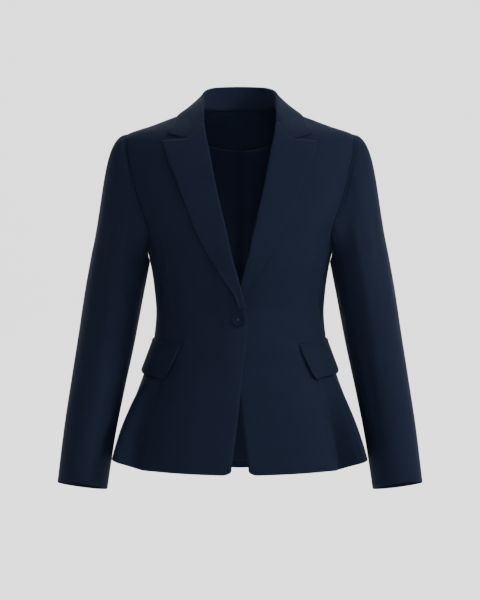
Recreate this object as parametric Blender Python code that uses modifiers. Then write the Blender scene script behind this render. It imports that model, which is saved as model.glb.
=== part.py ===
"""Peplum jacket with peak lapels and one button, filled out as if worn.

Metres. X runs to the wearer's left, -Y to the front and Z up. The origin is the base of the
neck on the centre line. A half is written in its own coordinates, where across grows from the
centre front to the side, and is then turned to the wearer's left (1) or right (-1).
"""

import math
from collections import namedtuple

import bpy
import numpy as np

# Cloth and seams
CLOTH = 0.0015
DOUBLE_CLOTH = 0.0016
FLAP_CLOTH = 0.0020
LINING_CLOTH = 0.0010
SEAM_GAP = 0.0004
LEFT, RIGHT = 1, -1
SIDES = ((LEFT, "left"), (RIGHT, "right"))

# Outer form of the body: the widths and depths of level sections
BodySection = namedtuple("BodySection", "height half_width front_depth back_depth power")
BODY = (
    BodySection(0.0100, 0.0420, 0.0120, 0.0560, 2.00),
    BodySection(0.0000, 0.0660, 0.0220, 0.0620, 2.00),
    BodySection(-0.0136, 0.0975, 0.0340, 0.0690, 2.00),
    BodySection(-0.0238, 0.1245, 0.0440, 0.0740, 2.00),
    BodySection(-0.0340, 0.1510, 0.0530, 0.0785, 2.02),
    BodySection(-0.0493, 0.1925, 0.0640, 0.0840, 2.05),
    BodySection(-0.0600, 0.2035, 0.0700, 0.0880, 2.10),
    BodySection(-0.0800, 0.2070, 0.0795, 0.0940, 2.18),
    BodySection(-0.1200, 0.2030, 0.0970, 0.1030, 2.25),
    BodySection(-0.1600, 0.1920, 0.1100, 0.1080, 2.30),
    BodySection(-0.2000, 0.1760, 0.1205, 0.1095, 2.30),
    BodySection(-0.2400, 0.1585, 0.1245, 0.1070, 2.28),
    BodySection(-0.2690, 0.1505, 0.1215, 0.1030, 2.25),
    BodySection(-0.3090, 0.1443, 0.1120, 0.0965, 2.22),
    BodySection(-0.3500, 0.1413, 0.1045, 0.0920, 2.20),
    BodySection(-0.3910, 0.1446, 0.1070, 0.0960, 2.20),
    BodySection(-0.4110, 0.1500, 0.1100, 0.1000, 2.20),
    BodySection(-0.4590, 0.1650, 0.1190, 0.1120, 2.22),
    BodySection(-0.5130, 0.1850, 0.1310, 0.1250, 2.26),
    BodySection(-0.5540, 0.2000, 0.1390, 0.1340, 2.30),
    BodySection(-0.6000, 0.2125, 0.1470, 0.1420, 2.30),
    BodySection(-0.6400, 0.2200, 0.1530, 0.1480, 2.30),
)

# Line where each front rolls open, then its free edge to the hem
EdgePoint = namedtuple("EdgePoint", "height across")
ROLL_LINE = (
    EdgePoint(0.0000, 0.0660),
    EdgePoint(-0.0136, 0.0655),
    EdgePoint(-0.0290, 0.0640),
    EdgePoint(-0.0460, 0.0620),
    EdgePoint(-0.0805, 0.0550),
    EdgePoint(-0.1266, 0.0465),
    EdgePoint(-0.1700, 0.0370),
    EdgePoint(-0.2166, 0.0260),
    EdgePoint(-0.2642, 0.0150),
    EdgePoint(-0.2936, 0.0065),
    EdgePoint(-0.3265, -0.0020),
    EdgePoint(-0.3400, -0.0052),
    EdgePoint(-0.3520, -0.0108),
    EdgePoint(-0.3660, -0.0124),
    EdgePoint(-0.3826, -0.0124),
    EdgePoint(-0.4039, -0.0107),
    EdgePoint(-0.4367, -0.0058),
    EdgePoint(-0.4693, -0.0025),
    EdgePoint(-0.4937, 0.0003),
    EdgePoint(-0.5422, 0.0060),
    EdgePoint(-0.5825, 0.0113),
    EdgePoint(-0.6140, 0.0150),
)
BREAK_HEIGHT = -0.3440
BUTTON_HEIGHT = -0.3628

# How far the upper front is lifted over the under front
LiftPoint = namedtuple("LiftPoint", "height lift")
OVERLAP_LIFT = (
    LiftPoint(-0.2300, 0.0000),
    LiftPoint(-0.2800, 0.0044),
    LiftPoint(-0.3430, 0.0046),
    LiftPoint(-0.3700, 0.0028),
    LiftPoint(-0.4950, 0.0023),
    LiftPoint(-0.5600, 0.0000),
)

# Angles of the seams round the body, from 0 at the centre front to 180 at the centre back
SeamPoint = namedtuple("SeamPoint", "height angle")
FRONT_PRINCESS = {
    LEFT: (
        SeamPoint(-0.2060, 62.5),
        SeamPoint(-0.2235, 54.6),
        SeamPoint(-0.2434, 52.9),
        SeamPoint(-0.3048, 52.9),
        SeamPoint(-0.3632, 54.5),
        SeamPoint(-0.4014, 52.8),
        SeamPoint(-0.4643, 50.5),
        SeamPoint(-0.5201, 48.7),
        SeamPoint(-0.5527, 47.6),
        SeamPoint(-0.6052, 48.2),
    ),
    RIGHT: (
        SeamPoint(-0.2060, 62.5),
        SeamPoint(-0.2235, 54.6),
        SeamPoint(-0.2434, 52.9),
        SeamPoint(-0.3048, 52.9),
        SeamPoint(-0.3632, 54.5),
        SeamPoint(-0.4014, 52.8),
        SeamPoint(-0.4643, 51.0),
        SeamPoint(-0.5042, 53.0),
        SeamPoint(-0.5532, 51.5),
        SeamPoint(-0.6052, 50.3),
    ),
}
BACK_PRINCESS = (
    SeamPoint(-0.1700, 117.0),
    SeamPoint(-0.1950, 124.0),
    SeamPoint(-0.2500, 128.0),
    SeamPoint(-0.3500, 131.0),
    SeamPoint(-0.6400, 128.0),
)
SIDE_SEAM = (SeamPoint(-0.7000, 90.0), SeamPoint(0.0000, 90.0))

# Armhole, down the front from the shoulder point and up the back
ARMHOLE_FRONT = (
    SeamPoint(-0.0493, 90.0),
    SeamPoint(-0.0530, 79.5),
    SeamPoint(-0.0640, 70.5),
    SeamPoint(-0.0860, 66.3),
    SeamPoint(-0.1130, 63.4),
    SeamPoint(-0.1424, 62.4),
    SeamPoint(-0.1762, 62.2),
    SeamPoint(-0.2060, 62.5),
    SeamPoint(-0.2210, 66.0),
    SeamPoint(-0.2330, 72.5),
    SeamPoint(-0.2395, 80.5),
    SeamPoint(-0.2415, 90.0),
)
ARMHOLE_BACK = (
    SeamPoint(-0.2415, 90.0),
    SeamPoint(-0.2370, 99.0),
    SeamPoint(-0.2220, 108.0),
    SeamPoint(-0.1980, 114.5),
    SeamPoint(-0.1700, 117.0),
    SeamPoint(-0.1350, 117.6),
    SeamPoint(-0.1000, 116.0),
    SeamPoint(-0.0720, 112.5),
    SeamPoint(-0.0560, 104.0),
    SeamPoint(-0.0493, 90.0),
)
FRONT_ARMHOLE_STEPS, SIDE_FRONT_STEPS, SIDE_BACK_STEPS, BACK_ARMHOLE_STEPS = 9, 4, 4, 8

# Height of the hem round the body
HEM = (
    SeamPoint(-0.6165, 0.0),
    SeamPoint(-0.6145, 19.0),
    SeamPoint(-0.6120, 36.0),
    SeamPoint(-0.6100, 49.0),
    SeamPoint(-0.6030, 65.0),
    SeamPoint(-0.5965, 80.0),
    SeamPoint(-0.5975, 95.0),
    SeamPoint(-0.6080, 125.0),
    SeamPoint(-0.6210, 155.0),
    SeamPoint(-0.6260, 180.0),
)
SKIRT_ROWS = 20
BREAK_ROW = 13

# Columns of a front panel, as shares of its width
FRONT_SHARES = (0, 0.02, 0.05, 0.12, 0.21, 0.31, 0.41, 0.51, 0.61, 0.71, 0.80, 0.87, 0.915, 0.957, 1)

# Pleat that opens below each flap: the front turns in, the side swings out to a flute
PLEAT_TOP, PLEAT_HEM = -0.4500, -0.6050
FoldPoint = namedtuple("FoldPoint", "from_seam along out")
FRONT_TURN = (
    FoldPoint(0, 0.0165, -0.0210),
    FoldPoint(1, 0.0090, -0.0125),
    FoldPoint(2, 0.0028, -0.0045),
    FoldPoint(3, -0.0030, -0.0008),
)
FlutePoint = namedtuple("FlutePoint", "share angle_share along out")
FLUTE = (
    FlutePoint(0.00, 0.00, 0.0168, -0.0210),
    FlutePoint(0.12, 0.06, 0.0170, -0.0080),
    FlutePoint(0.24, 0.12, 0.0150, 0.0060),
    FlutePoint(0.36, 0.18, 0.0150, 0.0140),
    FlutePoint(0.50, 0.30, 0.0110, 0.0160),
    FlutePoint(0.64, 0.46, 0.0060, 0.0110),
    FlutePoint(0.80, 0.70, 0.0020, 0.0040),
    FlutePoint(1.00, 1.00, 0.0000, 0.0000),
)

# Lapel: its free edge, from the peak down to the break of the roll line
LAPEL_EDGE = (
    EdgePoint(-0.0655, 0.1290),
    EdgePoint(-0.0969, 0.1189),
    EdgePoint(-0.1277, 0.1070),
    EdgePoint(-0.1564, 0.0960),
    EdgePoint(-0.1898, 0.0825),
    EdgePoint(-0.2296, 0.0658),
    EdgePoint(-0.2592, 0.0490),
    EdgePoint(-0.2838, 0.0345),
    EdgePoint(-0.3035, 0.0205),
    EdgePoint(-0.3216, 0.0080),
    EdgePoint(-0.3364, -0.0012),
    EdgePoint(-0.3440, -0.0020),
)
GORGE = (
    EdgePoint(-0.0325, 0.0672),
    EdgePoint(-0.0405, 0.0700),
    EdgePoint(-0.0490, 0.0760),
    EdgePoint(-0.0613, 0.0859),
)
PEAK_TOP = (EdgePoint(-0.0622, 0.0930), EdgePoint(-0.0638, 0.1100), EdgePoint(-0.0655, 0.1290))
NOTCH_TOP = (EdgePoint(-0.0585, 0.0985), EdgePoint(-0.0530, 0.1196))
GORGE_LIE = (0.0041, 0.0038, 0.0033, 0.0028)
LAPEL_LIE = 0.0026
LAPEL_ROWS = 16
UNDER_LAPEL_END = -0.3300
FOLD_RADIUS, PRESSED_RADIUS = 0.0030, 0.0020
PRESSED_TOP, PRESSED_BOTTOM = -0.2650, -0.3000
FOLD_FOOT = -0.00175
FOLD_START = -0.0004
FOLD_STEPS = 4

# Collar: its seam, its fold and its edge from the gorge round to the centre back
CollarStation = namedtuple(
    "CollarStation", "share fold_x fold_y fold_z edge_angle edge_height"
)
COLLAR = (
    CollarStation(0.00, 0.0600, -0.0500, -0.0313, 37.0, -0.0530),
    CollarStation(0.15, 0.0612, -0.0370, -0.0150, 45.0, -0.0370),
    CollarStation(0.30, 0.0630, -0.0180, 0.0020, 62.0, -0.0225),
    CollarStation(0.45, 0.0640, 0.0030, 0.0150, 88.0, -0.0158),
    CollarStation(0.60, 0.0590, 0.0260, 0.0285, 118.0, -0.0175),
    CollarStation(0.80, 0.0385, 0.0510, 0.0366, 149.0, -0.0150),
    CollarStation(1.00, 0.0000, 0.0600, 0.0385, 180.0, -0.0130),
)
COLLAR_STATIONS = 11
STAND_BASE_FRONT = 0.45
STAND_FOOT = -0.0041

# Inside of the back
FacingRow = namedtuple("FacingRow", "height clearance")
FACING = (
    FacingRow(-0.0680, 0.0020),
    FacingRow(-0.0450, 0.0022),
    FacingRow(-0.0220, 0.0018),
    FacingRow(-0.0003, 0.0010),
)
LINING_HEM_RISE = 0.0140
LINING_PLEAT = 0.0026
LINING_ANGLES = (114, 124, 134, 144, 154, 163, 171, 178, 181.5, 186, 194, 204, 214, 225, 236, 246)
LINING_ROWS = 12

# Sleeve: its outer and inner lines, its middle and its half depth
SleeveRing = namedtuple("SleeveRing", "outer_x outer_z inner_x inner_z middle_y half_depth")
SLEEVE = (
    SleeveRing(0.2505, -0.2500, 0.1555, -0.2660, 0.0020, 0.0640),
    SleeveRing(0.2612, -0.3100, 0.1660, -0.3260, 0.0000, 0.0615),
    SleeveRing(0.2722, -0.3850, 0.1800, -0.4010, -0.0040, 0.0570),
    SleeveRing(0.2838, -0.4650, 0.1965, -0.4800, -0.0160, 0.0510),
    SleeveRing(0.2950, -0.5450, 0.2115, -0.5590, -0.0300, 0.0460),
    SleeveRing(0.3050, -0.6360, 0.2240, -0.6460, -0.0450, 0.0430),
)
CAP_ROWS, ARM_ROWS = 7, 9
UNDER_SLEEVE_FIRST, UNDER_SLEEVE_LAST = 10, 18

# Slanted pocket flap and the welt above it
FLAP_TOP = (SeamPoint(-0.4085, 39.5), SeamPoint(-0.4005, 84.0), SeamPoint(-0.3975, 108.0))
FLAP_BOTTOM = (
    SeamPoint(-0.4540, 44.0),
    SeamPoint(-0.4608, 46.0),
    SeamPoint(-0.4617, 48.5),
    SeamPoint(-0.4590, 52.5),
    SeamPoint(-0.4570, 66.0),
    SeamPoint(-0.4520, 84.0),
    SeamPoint(-0.4480, 112.0),
)
FLAP_COLUMNS, FLAP_ROWS = 14, 5
FLAP_LIE_TOP, FLAP_LIE_BOTTOM = 0.0028, 0.0066
WELT_HEIGHT = 0.0042
WELT_LIE = 0.0025

# Button
BUTTON_RADIUS = 0.0109
BUTTON_X = -0.0033
BUTTON_LIE = 0.0013


def smooth_through(marks, values, at):
    """Smooth curve through the points that never swings beyond two neighbours."""
    marks, values, at = (np.asarray(each, float) for each in (marks, values, at))
    step = np.diff(marks)
    rise = np.diff(values) / step
    slope = np.empty_like(values)
    slope[0], slope[-1] = rise[0], rise[-1]
    same_way = rise[:-1] * rise[1:] > 0
    before = np.where(same_way, rise[:-1], 1.0)
    after = np.where(same_way, rise[1:], 1.0)
    first = 2 * step[1:] + step[:-1]
    second = step[1:] + 2 * step[:-1]
    slope[1:-1] = np.where(same_way, (first + second) / (first / before + second / after), 0.0)
    at = np.clip(at, marks[0], marks[-1])
    k = np.clip(np.searchsorted(marks, at, side="right") - 1, 0, len(marks) - 2)
    t = (at - marks[k]) / step[k]
    start = values[k] * (1 + 2 * t) + step[k] * slope[k] * t
    end = values[k + 1] * (3 - 2 * t) - step[k] * slope[k + 1] * (1 - t)
    return start * (1 - t) ** 2 + end * t**2


def read_column(table, mark, value, at):
    """Smooth value of one named column of a table, against another."""
    rows = sorted(table, key=lambda row: getattr(row, mark))
    marks = [getattr(row, mark) for row in rows]
    values = [getattr(row, value) for row in rows]
    return smooth_through(marks, values, at)


def section_at(height):
    """Half width, front depth, back depth and power of the form's level section."""
    return tuple(read_column(BODY, "height", name, height) for name in BodySection._fields[1:])


def body_surface(angle, height):
    """Points of the body's outer form in the wearer's left half's own coordinates."""
    angle, height = np.broadcast_arrays(np.asarray(angle, float), np.asarray(height, float))
    turn = np.radians(np.abs(angle))
    half_width, front, back, power = section_at(height)
    sine, cosine = np.abs(np.sin(turn)), np.cos(turn)
    across = half_width * sine ** (2 / power) * np.where((angle < 0) | (angle > 180), -1, 1)
    depth = np.where(cosine > 0, -front, back) * np.abs(cosine) ** (2 / power)
    return np.stack([across, depth, height], -1)


def unit(vectors):
    """Vectors scaled to a length of one."""
    return vectors / np.linalg.norm(vectors, axis=-1, keepdims=True)


def body_frame(angle, height):
    """Points of the form, its direction round the body and its outward direction."""
    angle, height = np.broadcast_arrays(np.asarray(angle, float), np.asarray(height, float))
    round_body = body_surface(angle + 0.5, height) - body_surface(angle - 0.5, height)
    upward = body_surface(angle, height + 0.001) - body_surface(angle, height - 0.001)
    return body_surface(angle, height), unit(round_body), unit(np.cross(round_body, upward))


def angle_at(across, height):
    """Angle on the form's front of a point this far across at this height."""
    half_width, _, _, power = section_at(height)
    share = np.clip(np.abs(across) / half_width, 0, 1)
    return np.degrees(np.arcsin(share ** (power / 2))) * np.sign(across)


def grid_normals(points):
    """Outward directions of a grid of rows going up and columns going round."""
    along = np.gradient(points, axis=1)
    upward = np.gradient(points, axis=0)
    return unit(np.cross(along, upward))


def square_inward(border, beside):
    """Directions from a border toward the line beside it, square to the border."""
    along = unit(np.gradient(border, axis=0))
    inward = beside - border
    return unit(inward - (inward * along).sum(-1, keepdims=True) * along)


def pull_in(points, gap=SEAM_GAP / 2, sides=True):
    """The grid with its borders drawn in to leave half a seam gap."""
    drawn = points.copy()
    for near, far in ((0, 1), (-1, -2)):
        drawn[near] += gap * square_inward(points[near], points[far])
        if sides:
            drawn[:, near] += gap * square_inward(points[:, near], points[:, far])
    return drawn


def material(name, colour, roughness, metallic=0.0):
    """One cloth or trim finish."""
    made = bpy.data.materials.new(name)
    made.use_nodes = True
    shader = made.node_tree.nodes["Principled BSDF"]
    shader.inputs["Base Color"].default_value = (*colour, 1.0)
    shader.inputs["Roughness"].default_value = roughness
    shader.inputs["Metallic"].default_value = metallic
    return made


def add_mesh(name, points, faces, finish):
    """A named object from points and faces, facing out."""
    mesh = bpy.data.meshes.new(name)
    mesh.from_pydata(points.tolist(), [], faces)
    mesh.materials.append(finish)
    made = bpy.data.objects.new(name, mesh)
    JACKET.objects.link(made)
    return made


def add_wall(name, outer, inner, finish, side=LEFT):
    """A closed wall between an outer and an inner grid, turned to its side of the wearer."""
    rows, columns = outer.shape[:2]
    turn = np.array([side, 1, 1])
    points = np.concatenate([outer.reshape(-1, 3), inner.reshape(-1, 3)]) * turn
    index = np.arange(2 * rows * columns).reshape(2, rows, columns)
    over, under = index
    quads = [
        np.stack([over[:-1, :-1], over[:-1, 1:], over[1:, 1:], over[1:, :-1]], -1),
        np.stack([under[:-1, :-1], under[1:, :-1], under[1:, 1:], under[:-1, 1:]], -1),
        np.stack([over[0, 1:], over[0, :-1], under[0, :-1], under[0, 1:]], -1),
        np.stack([over[-1, :-1], over[-1, 1:], under[-1, 1:], under[-1, :-1]], -1),
        np.stack([over[:-1, 0], over[1:, 0], under[1:, 0], under[:-1, 0]], -1),
        np.stack([over[1:, -1], over[:-1, -1], under[:-1, -1], under[1:, -1]], -1),
    ]
    faces = np.concatenate([quad.reshape(-1, 4) for quad in quads])
    if side == RIGHT:
        faces = faces[:, [0, 3, 2, 1]]
    return add_mesh(name, points, faces.tolist(), finish)


def patch(bottom, right, top, left, shares=None):
    """Grid that fills four borders of points, with its columns evenly spaced or at the shares."""
    if shares is None:
        shares = np.linspace(0, 1, len(bottom))
    across = shares[None, :, None]
    up = np.linspace(0, 1, len(left))[:, None, None]
    sides = (1 - across) * left[:, None] + across * right[:, None]
    ends = (1 - up) * bottom[None] + up * top[None]
    foot = (1 - across) * bottom[0] + across * bottom[-1]
    head = (1 - across) * top[0] + across * top[-1]
    return sides + ends - (1 - up) * foot - up * head


def hem_height(angle):
    """Height of the hem at an angle round the body."""
    return read_column(HEM, "angle", "height", np.abs(angle))


def along_line(line, steps, start=0.0, end=1.0):
    """Evenly spaced (angle, height) points along part of a line on the form."""
    share = np.linspace(0, 1, len(line))
    fine = np.linspace(0, 1, 200)
    angles = smooth_through(share, [point.angle for point in line], fine)
    heights = smooth_through(share, [point.height for point in line], fine)
    lengths = np.linalg.norm(np.diff(body_surface(angles, heights), axis=0), axis=1)
    travelled = np.concatenate([[0], np.cumsum(lengths)]) / lengths.sum()
    wanted = np.linspace(start, end, steps + 1)
    return np.stack(
        [np.interp(wanted, travelled, angles), np.interp(wanted, travelled, heights)], -1
    )


def armhole():
    """(angle, height) points round the armhole, from the shoulder down the front and up the back."""
    upper = along_line(ARMHOLE_FRONT[:8], FRONT_ARMHOLE_STEPS)
    lower = along_line(ARMHOLE_FRONT[7:], SIDE_FRONT_STEPS)
    rise = along_line(ARMHOLE_BACK[:5], SIDE_BACK_STEPS)
    back = along_line(ARMHOLE_BACK[4:], BACK_ARMHOLE_STEPS)
    return upper, lower, rise, back


def seam_line(table, top_height):
    """(angle, height) points up a seam from the hem to the armhole."""
    rows = np.linspace(0, 1, SKIRT_ROWS + 1)
    foot_angle = read_column(table, "height", "angle", -0.605)
    foot = hem_height(foot_angle)
    heights = foot + (top_height - foot) * rows
    return np.stack([read_column(table, "height", "angle", heights), heights], -1)


def pleat_share(height):
    """How far the side pleat stands open at a height."""
    share = np.clip((PLEAT_TOP - height) / (PLEAT_TOP - PLEAT_HEM), 0, 1.05)
    return share**0.95


def overlap_lift(side, across, height):
    """Lift of the upper front where it lies over the under front."""
    if side == LEFT:
        return np.zeros_like(height)
    rise = read_column(OVERLAP_LIFT, "height", "lift", height)
    near = np.clip((0.050 - across) / 0.032, 0, 1)
    return rise * near * near * (3 - 2 * near)


def front_edge(height):
    """How far across the front's edge or roll line is at a height."""
    return read_column(ROLL_LINE, "height", "across", height)


def front_point(side, across, height, out):
    """Points over a front this far across, at these heights and this far out."""
    place, _, normal = body_frame(angle_at(across, height), height)
    out = out + overlap_lift(side, across, height)
    return place + normal * out[..., None]


def front_chart(side):
    """(angle, height) grid of a front panel, from the hem to the shoulder seam."""
    upper = armhole()[0]
    seam = seam_line(FRONT_PRINCESS[side], upper[-1, 1])
    right = np.concatenate([seam, upper[::-1][1:]])
    foot = hem_height(0)
    lower = foot + (BREAK_HEIGHT - foot) / BREAK_ROW * np.arange(SKIRT_ROWS + 1)
    over = np.linspace(lower[-1], 0.0, FRONT_ARMHOLE_STEPS + 1)[1:]
    heights = np.concatenate([lower, over])
    left = np.stack([angle_at(front_edge(heights), heights), heights], -1)
    left[-1] = (90.0, 0.0)
    shares = np.array(FRONT_SHARES)
    angles = left[0, 0] + (right[0, 0] - left[0, 0]) * shares
    bottom = np.stack([angles, hem_height(angles)], -1)
    bottom[0, 1], bottom[1, 1] = left[0, 1] + 0.0050, bottom[1, 1] + 0.0015
    left[0] = bottom[0]
    top = left[-1] + (right[-1] - left[-1]) * shares[:, None]
    return patch(bottom, right, top, left, shares)


def turned_pleat(chart, points, round_body, normal):
    """The front's side border turned in where the pleat opens, and how open it is."""
    turned = points.copy()
    share = pleat_share(chart[:, -1, 1])[:, None]
    for fold in FRONT_TURN:
        column = -1 - fold.from_seam
        folded = points[:, -1] + fold.along * round_body[:, -1] + fold.out * normal[:, -1]
        turned[:, column] = (1 - share) * points[:, column] + share * folded
    return turned


def shaped_normals(points, normal, weight):
    """The form's own outward directions, changing to the folded cloth's where it is folded."""
    mixed = (1 - weight[..., None]) * normal + weight[..., None] * grid_normals(points)
    return unit(mixed)


def build_front(side, name, finish):
    """A front panel, from its edge and roll line to the princess seam, armhole and shoulder."""
    chart = front_chart(side)
    place, round_body, normal = body_frame(chart[..., 0], chart[..., 1])
    place = place + normal * overlap_lift(side, place[..., 0], chart[..., 1])[..., None]
    place = turned_pleat(chart, place, round_body, normal)
    weight = np.zeros(chart.shape[:2])
    weight[:, -5:] = np.clip(8 * pleat_share(chart[:, -1:, 1]), 0, 1)
    outer = pull_in(place)
    inner = outer - CLOTH * shaped_normals(place, normal, weight)
    add_wall(f"front_{name}", outer, inner, finish, side)


def build_side_front(side, name, finish):
    """The panel between the princess seam and the side seam, with its flute."""
    upper, lower, _, _ = armhole()
    left = seam_line(FRONT_PRINCESS[side], upper[-1, 1])
    right = seam_line(SIDE_SEAM, lower[-1, 1])
    shares = np.array([row.angle_share for row in FLUTE])
    even = np.array([row.share for row in FLUTE])
    columns = len(FLUTE)
    bottom_angle = left[0, 0] + (right[0, 0] - left[0, 0]) * even
    bottom = np.stack([bottom_angle, hem_height(bottom_angle)], -1)
    top = np.stack(
        [np.interp(even, np.linspace(0, 1, len(lower)), lower[:, axis]) for axis in (0, 1)], -1
    )
    chart = patch(bottom, right, top, left, even)
    share = pleat_share(chart[:, :, 1])
    gathered = chart.copy()
    gathered[..., 0] = chart[:, :1, 0] + (chart[:, -1:, 0] - chart[:, :1, 0]) * shares
    gathered = (1 - share[..., None]) * chart + share[..., None] * gathered
    place, round_body, normal = body_frame(gathered[..., 0], gathered[..., 1])
    along = np.array([row.along for row in FLUTE])
    out = np.array([row.out for row in FLUTE])
    fluted = place + share[..., None] * (
        along[None, :, None] * round_body[:, :1] + out[None, :, None] * normal
    )
    weight = np.clip(8 * share, 0, 1)
    weight[:, columns - 1] = 0
    outer = pull_in(fluted)
    inner = outer - CLOTH * shaped_normals(fluted, normal, weight)
    add_wall(f"side_front_{name}", outer, inner, finish, side)


def build_plain_panel(label, chart, side, finish):
    """A panel that lies on the form."""
    place, _, normal = body_frame(chart[..., 0], chart[..., 1])
    outer = pull_in(place)
    add_wall(label, outer, outer - CLOTH * normal, finish, side)


def side_back_chart():
    """(angle, height) grid between the side seam and the back princess seam."""
    _, lower, rise, _ = armhole()
    left = seam_line(SIDE_SEAM, lower[-1, 1])
    right = seam_line(BACK_PRINCESS, rise[-1, 1])
    angles = np.linspace(left[0, 0], right[0, 0], len(rise))
    bottom = np.stack([angles, hem_height(angles)], -1)
    return patch(bottom, right, rise, left)


def back_chart():
    """(angle, height) grid from the back princess seam and armhole to the centre back seam."""
    _, _, rise, back = armhole()
    left = np.concatenate([seam_line(BACK_PRINCESS, rise[-1, 1]), back[1:]])
    lower = np.linspace(hem_height(180), -0.165, SKIRT_ROWS + 1)
    over = np.linspace(-0.165, 0.0, BACK_ARMHOLE_STEPS + 1)[1:]
    heights = np.concatenate([lower, over])
    right = np.stack([np.full(len(heights), 180.0), heights], -1)
    shoulder = np.stack([np.full(6, 90.0), np.linspace(-0.0493, 0.0, 6)], -1)
    neck = np.stack([np.linspace(90, 180, 5), np.zeros(5)], -1)
    top = np.concatenate([shoulder, neck[1:]])
    angles = np.linspace(left[0, 0], 180, len(top))
    bottom = np.stack([angles, hem_height(angles)], -1)
    return patch(bottom, right, top, left)


def fold_points(line, across, normal, radius):
    """Rows of a rolled fold on a roll line, from under the cloth's edge to its top."""
    turns = np.linspace(-math.pi / 2, math.pi / 2, FOLD_STEPS + 1)
    along = FOLD_START - 0.0005 - radius[:, None] * np.cos(turns)
    out = FOLD_FOOT + radius[:, None] * (1 + np.sin(turns))
    along = np.concatenate([np.full((len(radius), 1), FOLD_START), along], axis=1)
    out = np.concatenate([np.full((len(radius), 1), FOLD_FOOT), out], axis=1)
    return line[:, None] + along[..., None] * across[:, None] + out[..., None] * normal[:, None]


def roll_frame(side, heights):
    """Points on a roll line, the direction over the cloth from it, and outward."""
    edge = front_edge(heights)
    line = front_point(side, edge, heights, np.zeros_like(heights))
    below = front_point(side, front_edge(heights - 0.001), heights - 0.001, np.zeros_like(heights))
    _, _, normal = body_frame(angle_at(edge, heights), heights)
    return line, unit(np.cross(line - below, normal)), normal


def build_lapel(side, name, finish):
    """A peak lapel, rolled at its fold and lying over its front."""
    rows = np.linspace(0, 1, LAPEL_ROWS + 1)
    foot = UNDER_LAPEL_END if side == LEFT else BREAK_HEIGHT
    roll_heights = foot + (GORGE[0].height - foot) * rows
    edge_heights = foot + (PEAK_TOP[-1].height - foot) * rows
    top = np.array([(row.across, row.height) for row in GORGE + PEAK_TOP])
    lengths = np.concatenate([[0], np.cumsum(np.linalg.norm(np.diff(top, axis=0), axis=1))])
    shares = lengths / lengths[-1]
    left = np.stack([front_edge(roll_heights) + top[0, 0] - front_edge(top[0, 1]), roll_heights], -1)
    edge_across = read_column(LAPEL_EDGE, "height", "across", edge_heights)
    right = np.stack([np.maximum(edge_across, left[:, 0] + 0.0035), edge_heights], -1)
    bottom = left[0] + (right[0] - left[0]) * shares[:, None]
    chart = patch(bottom, right, top, left, shares)
    pressed = np.zeros_like(roll_heights)
    if side == LEFT:
        pressed = np.clip((PRESSED_TOP - roll_heights) / (PRESSED_TOP - PRESSED_BOTTOM), 0, 1)
    radius = FOLD_RADIUS + (PRESSED_RADIUS - FOLD_RADIUS) * pressed
    full_lie = np.array(GORGE_LIE + (LAPEL_LIE,) * len(PEAK_TOP))
    flat_lie = FOLD_FOOT + 2 * PRESSED_RADIUS
    lie = full_lie + (flat_lie - full_lie) * pressed[:, None]
    flat = front_point(side, chart[..., 0], chart[..., 1], lie)
    line, across, normal = roll_frame(side, roll_heights)
    surface = np.concatenate([fold_points(line, across, normal, radius), flat], axis=1)
    add_folded(f"lapel_{name}", surface, DOUBLE_CLOTH, finish, side)


def add_folded(label, surface, thickness, finish, side=LEFT):
    """A wall below a folded surface, with half a seam gap at its two ends."""
    outer = pull_in(surface, 0.75 * SEAM_GAP, sides=False)
    inner = outer - thickness * grid_normals(surface)
    add_wall(label, outer, inner, finish, side)


def clear_of_body(points, least):
    """The points moved out wherever they are nearer to the form than the least distance."""
    height = np.minimum(points[..., 2], 0.0)
    half_width, front, back, power = section_at(height)
    depth = np.where(points[..., 1] < 0, front, back)
    ratio = (np.abs(points[..., 0]) / half_width) / np.maximum(np.abs(points[..., 1]) / depth, 1e-6)
    angle = np.degrees(np.arctan(ratio ** (power / 2)))
    angle = np.where(points[..., 1] < 0, angle, 180 - angle)
    place, _, normal = body_frame(angle, height)
    distance = ((points - place) * normal).sum(-1)
    push = np.where(points[..., 2] < 0.002, np.maximum(least - distance, 0), 0)
    return points + normal * push[..., None]


def collar_base(share):
    """Points of the collar's seam, from the gorge up the roll line and round the neck."""
    front = share <= STAND_BASE_FRONT
    heights = np.where(front, GORGE[0].height * (1 - share / STAND_BASE_FRONT), 0.0)
    edge = front_edge(heights)
    angles = np.where(
        front,
        angle_at(edge, heights),
        90 + 90 * (share - STAND_BASE_FRONT) / (1 - STAND_BASE_FRONT),
    )
    place, _, normal = body_frame(angles, heights)
    return place, normal


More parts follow.
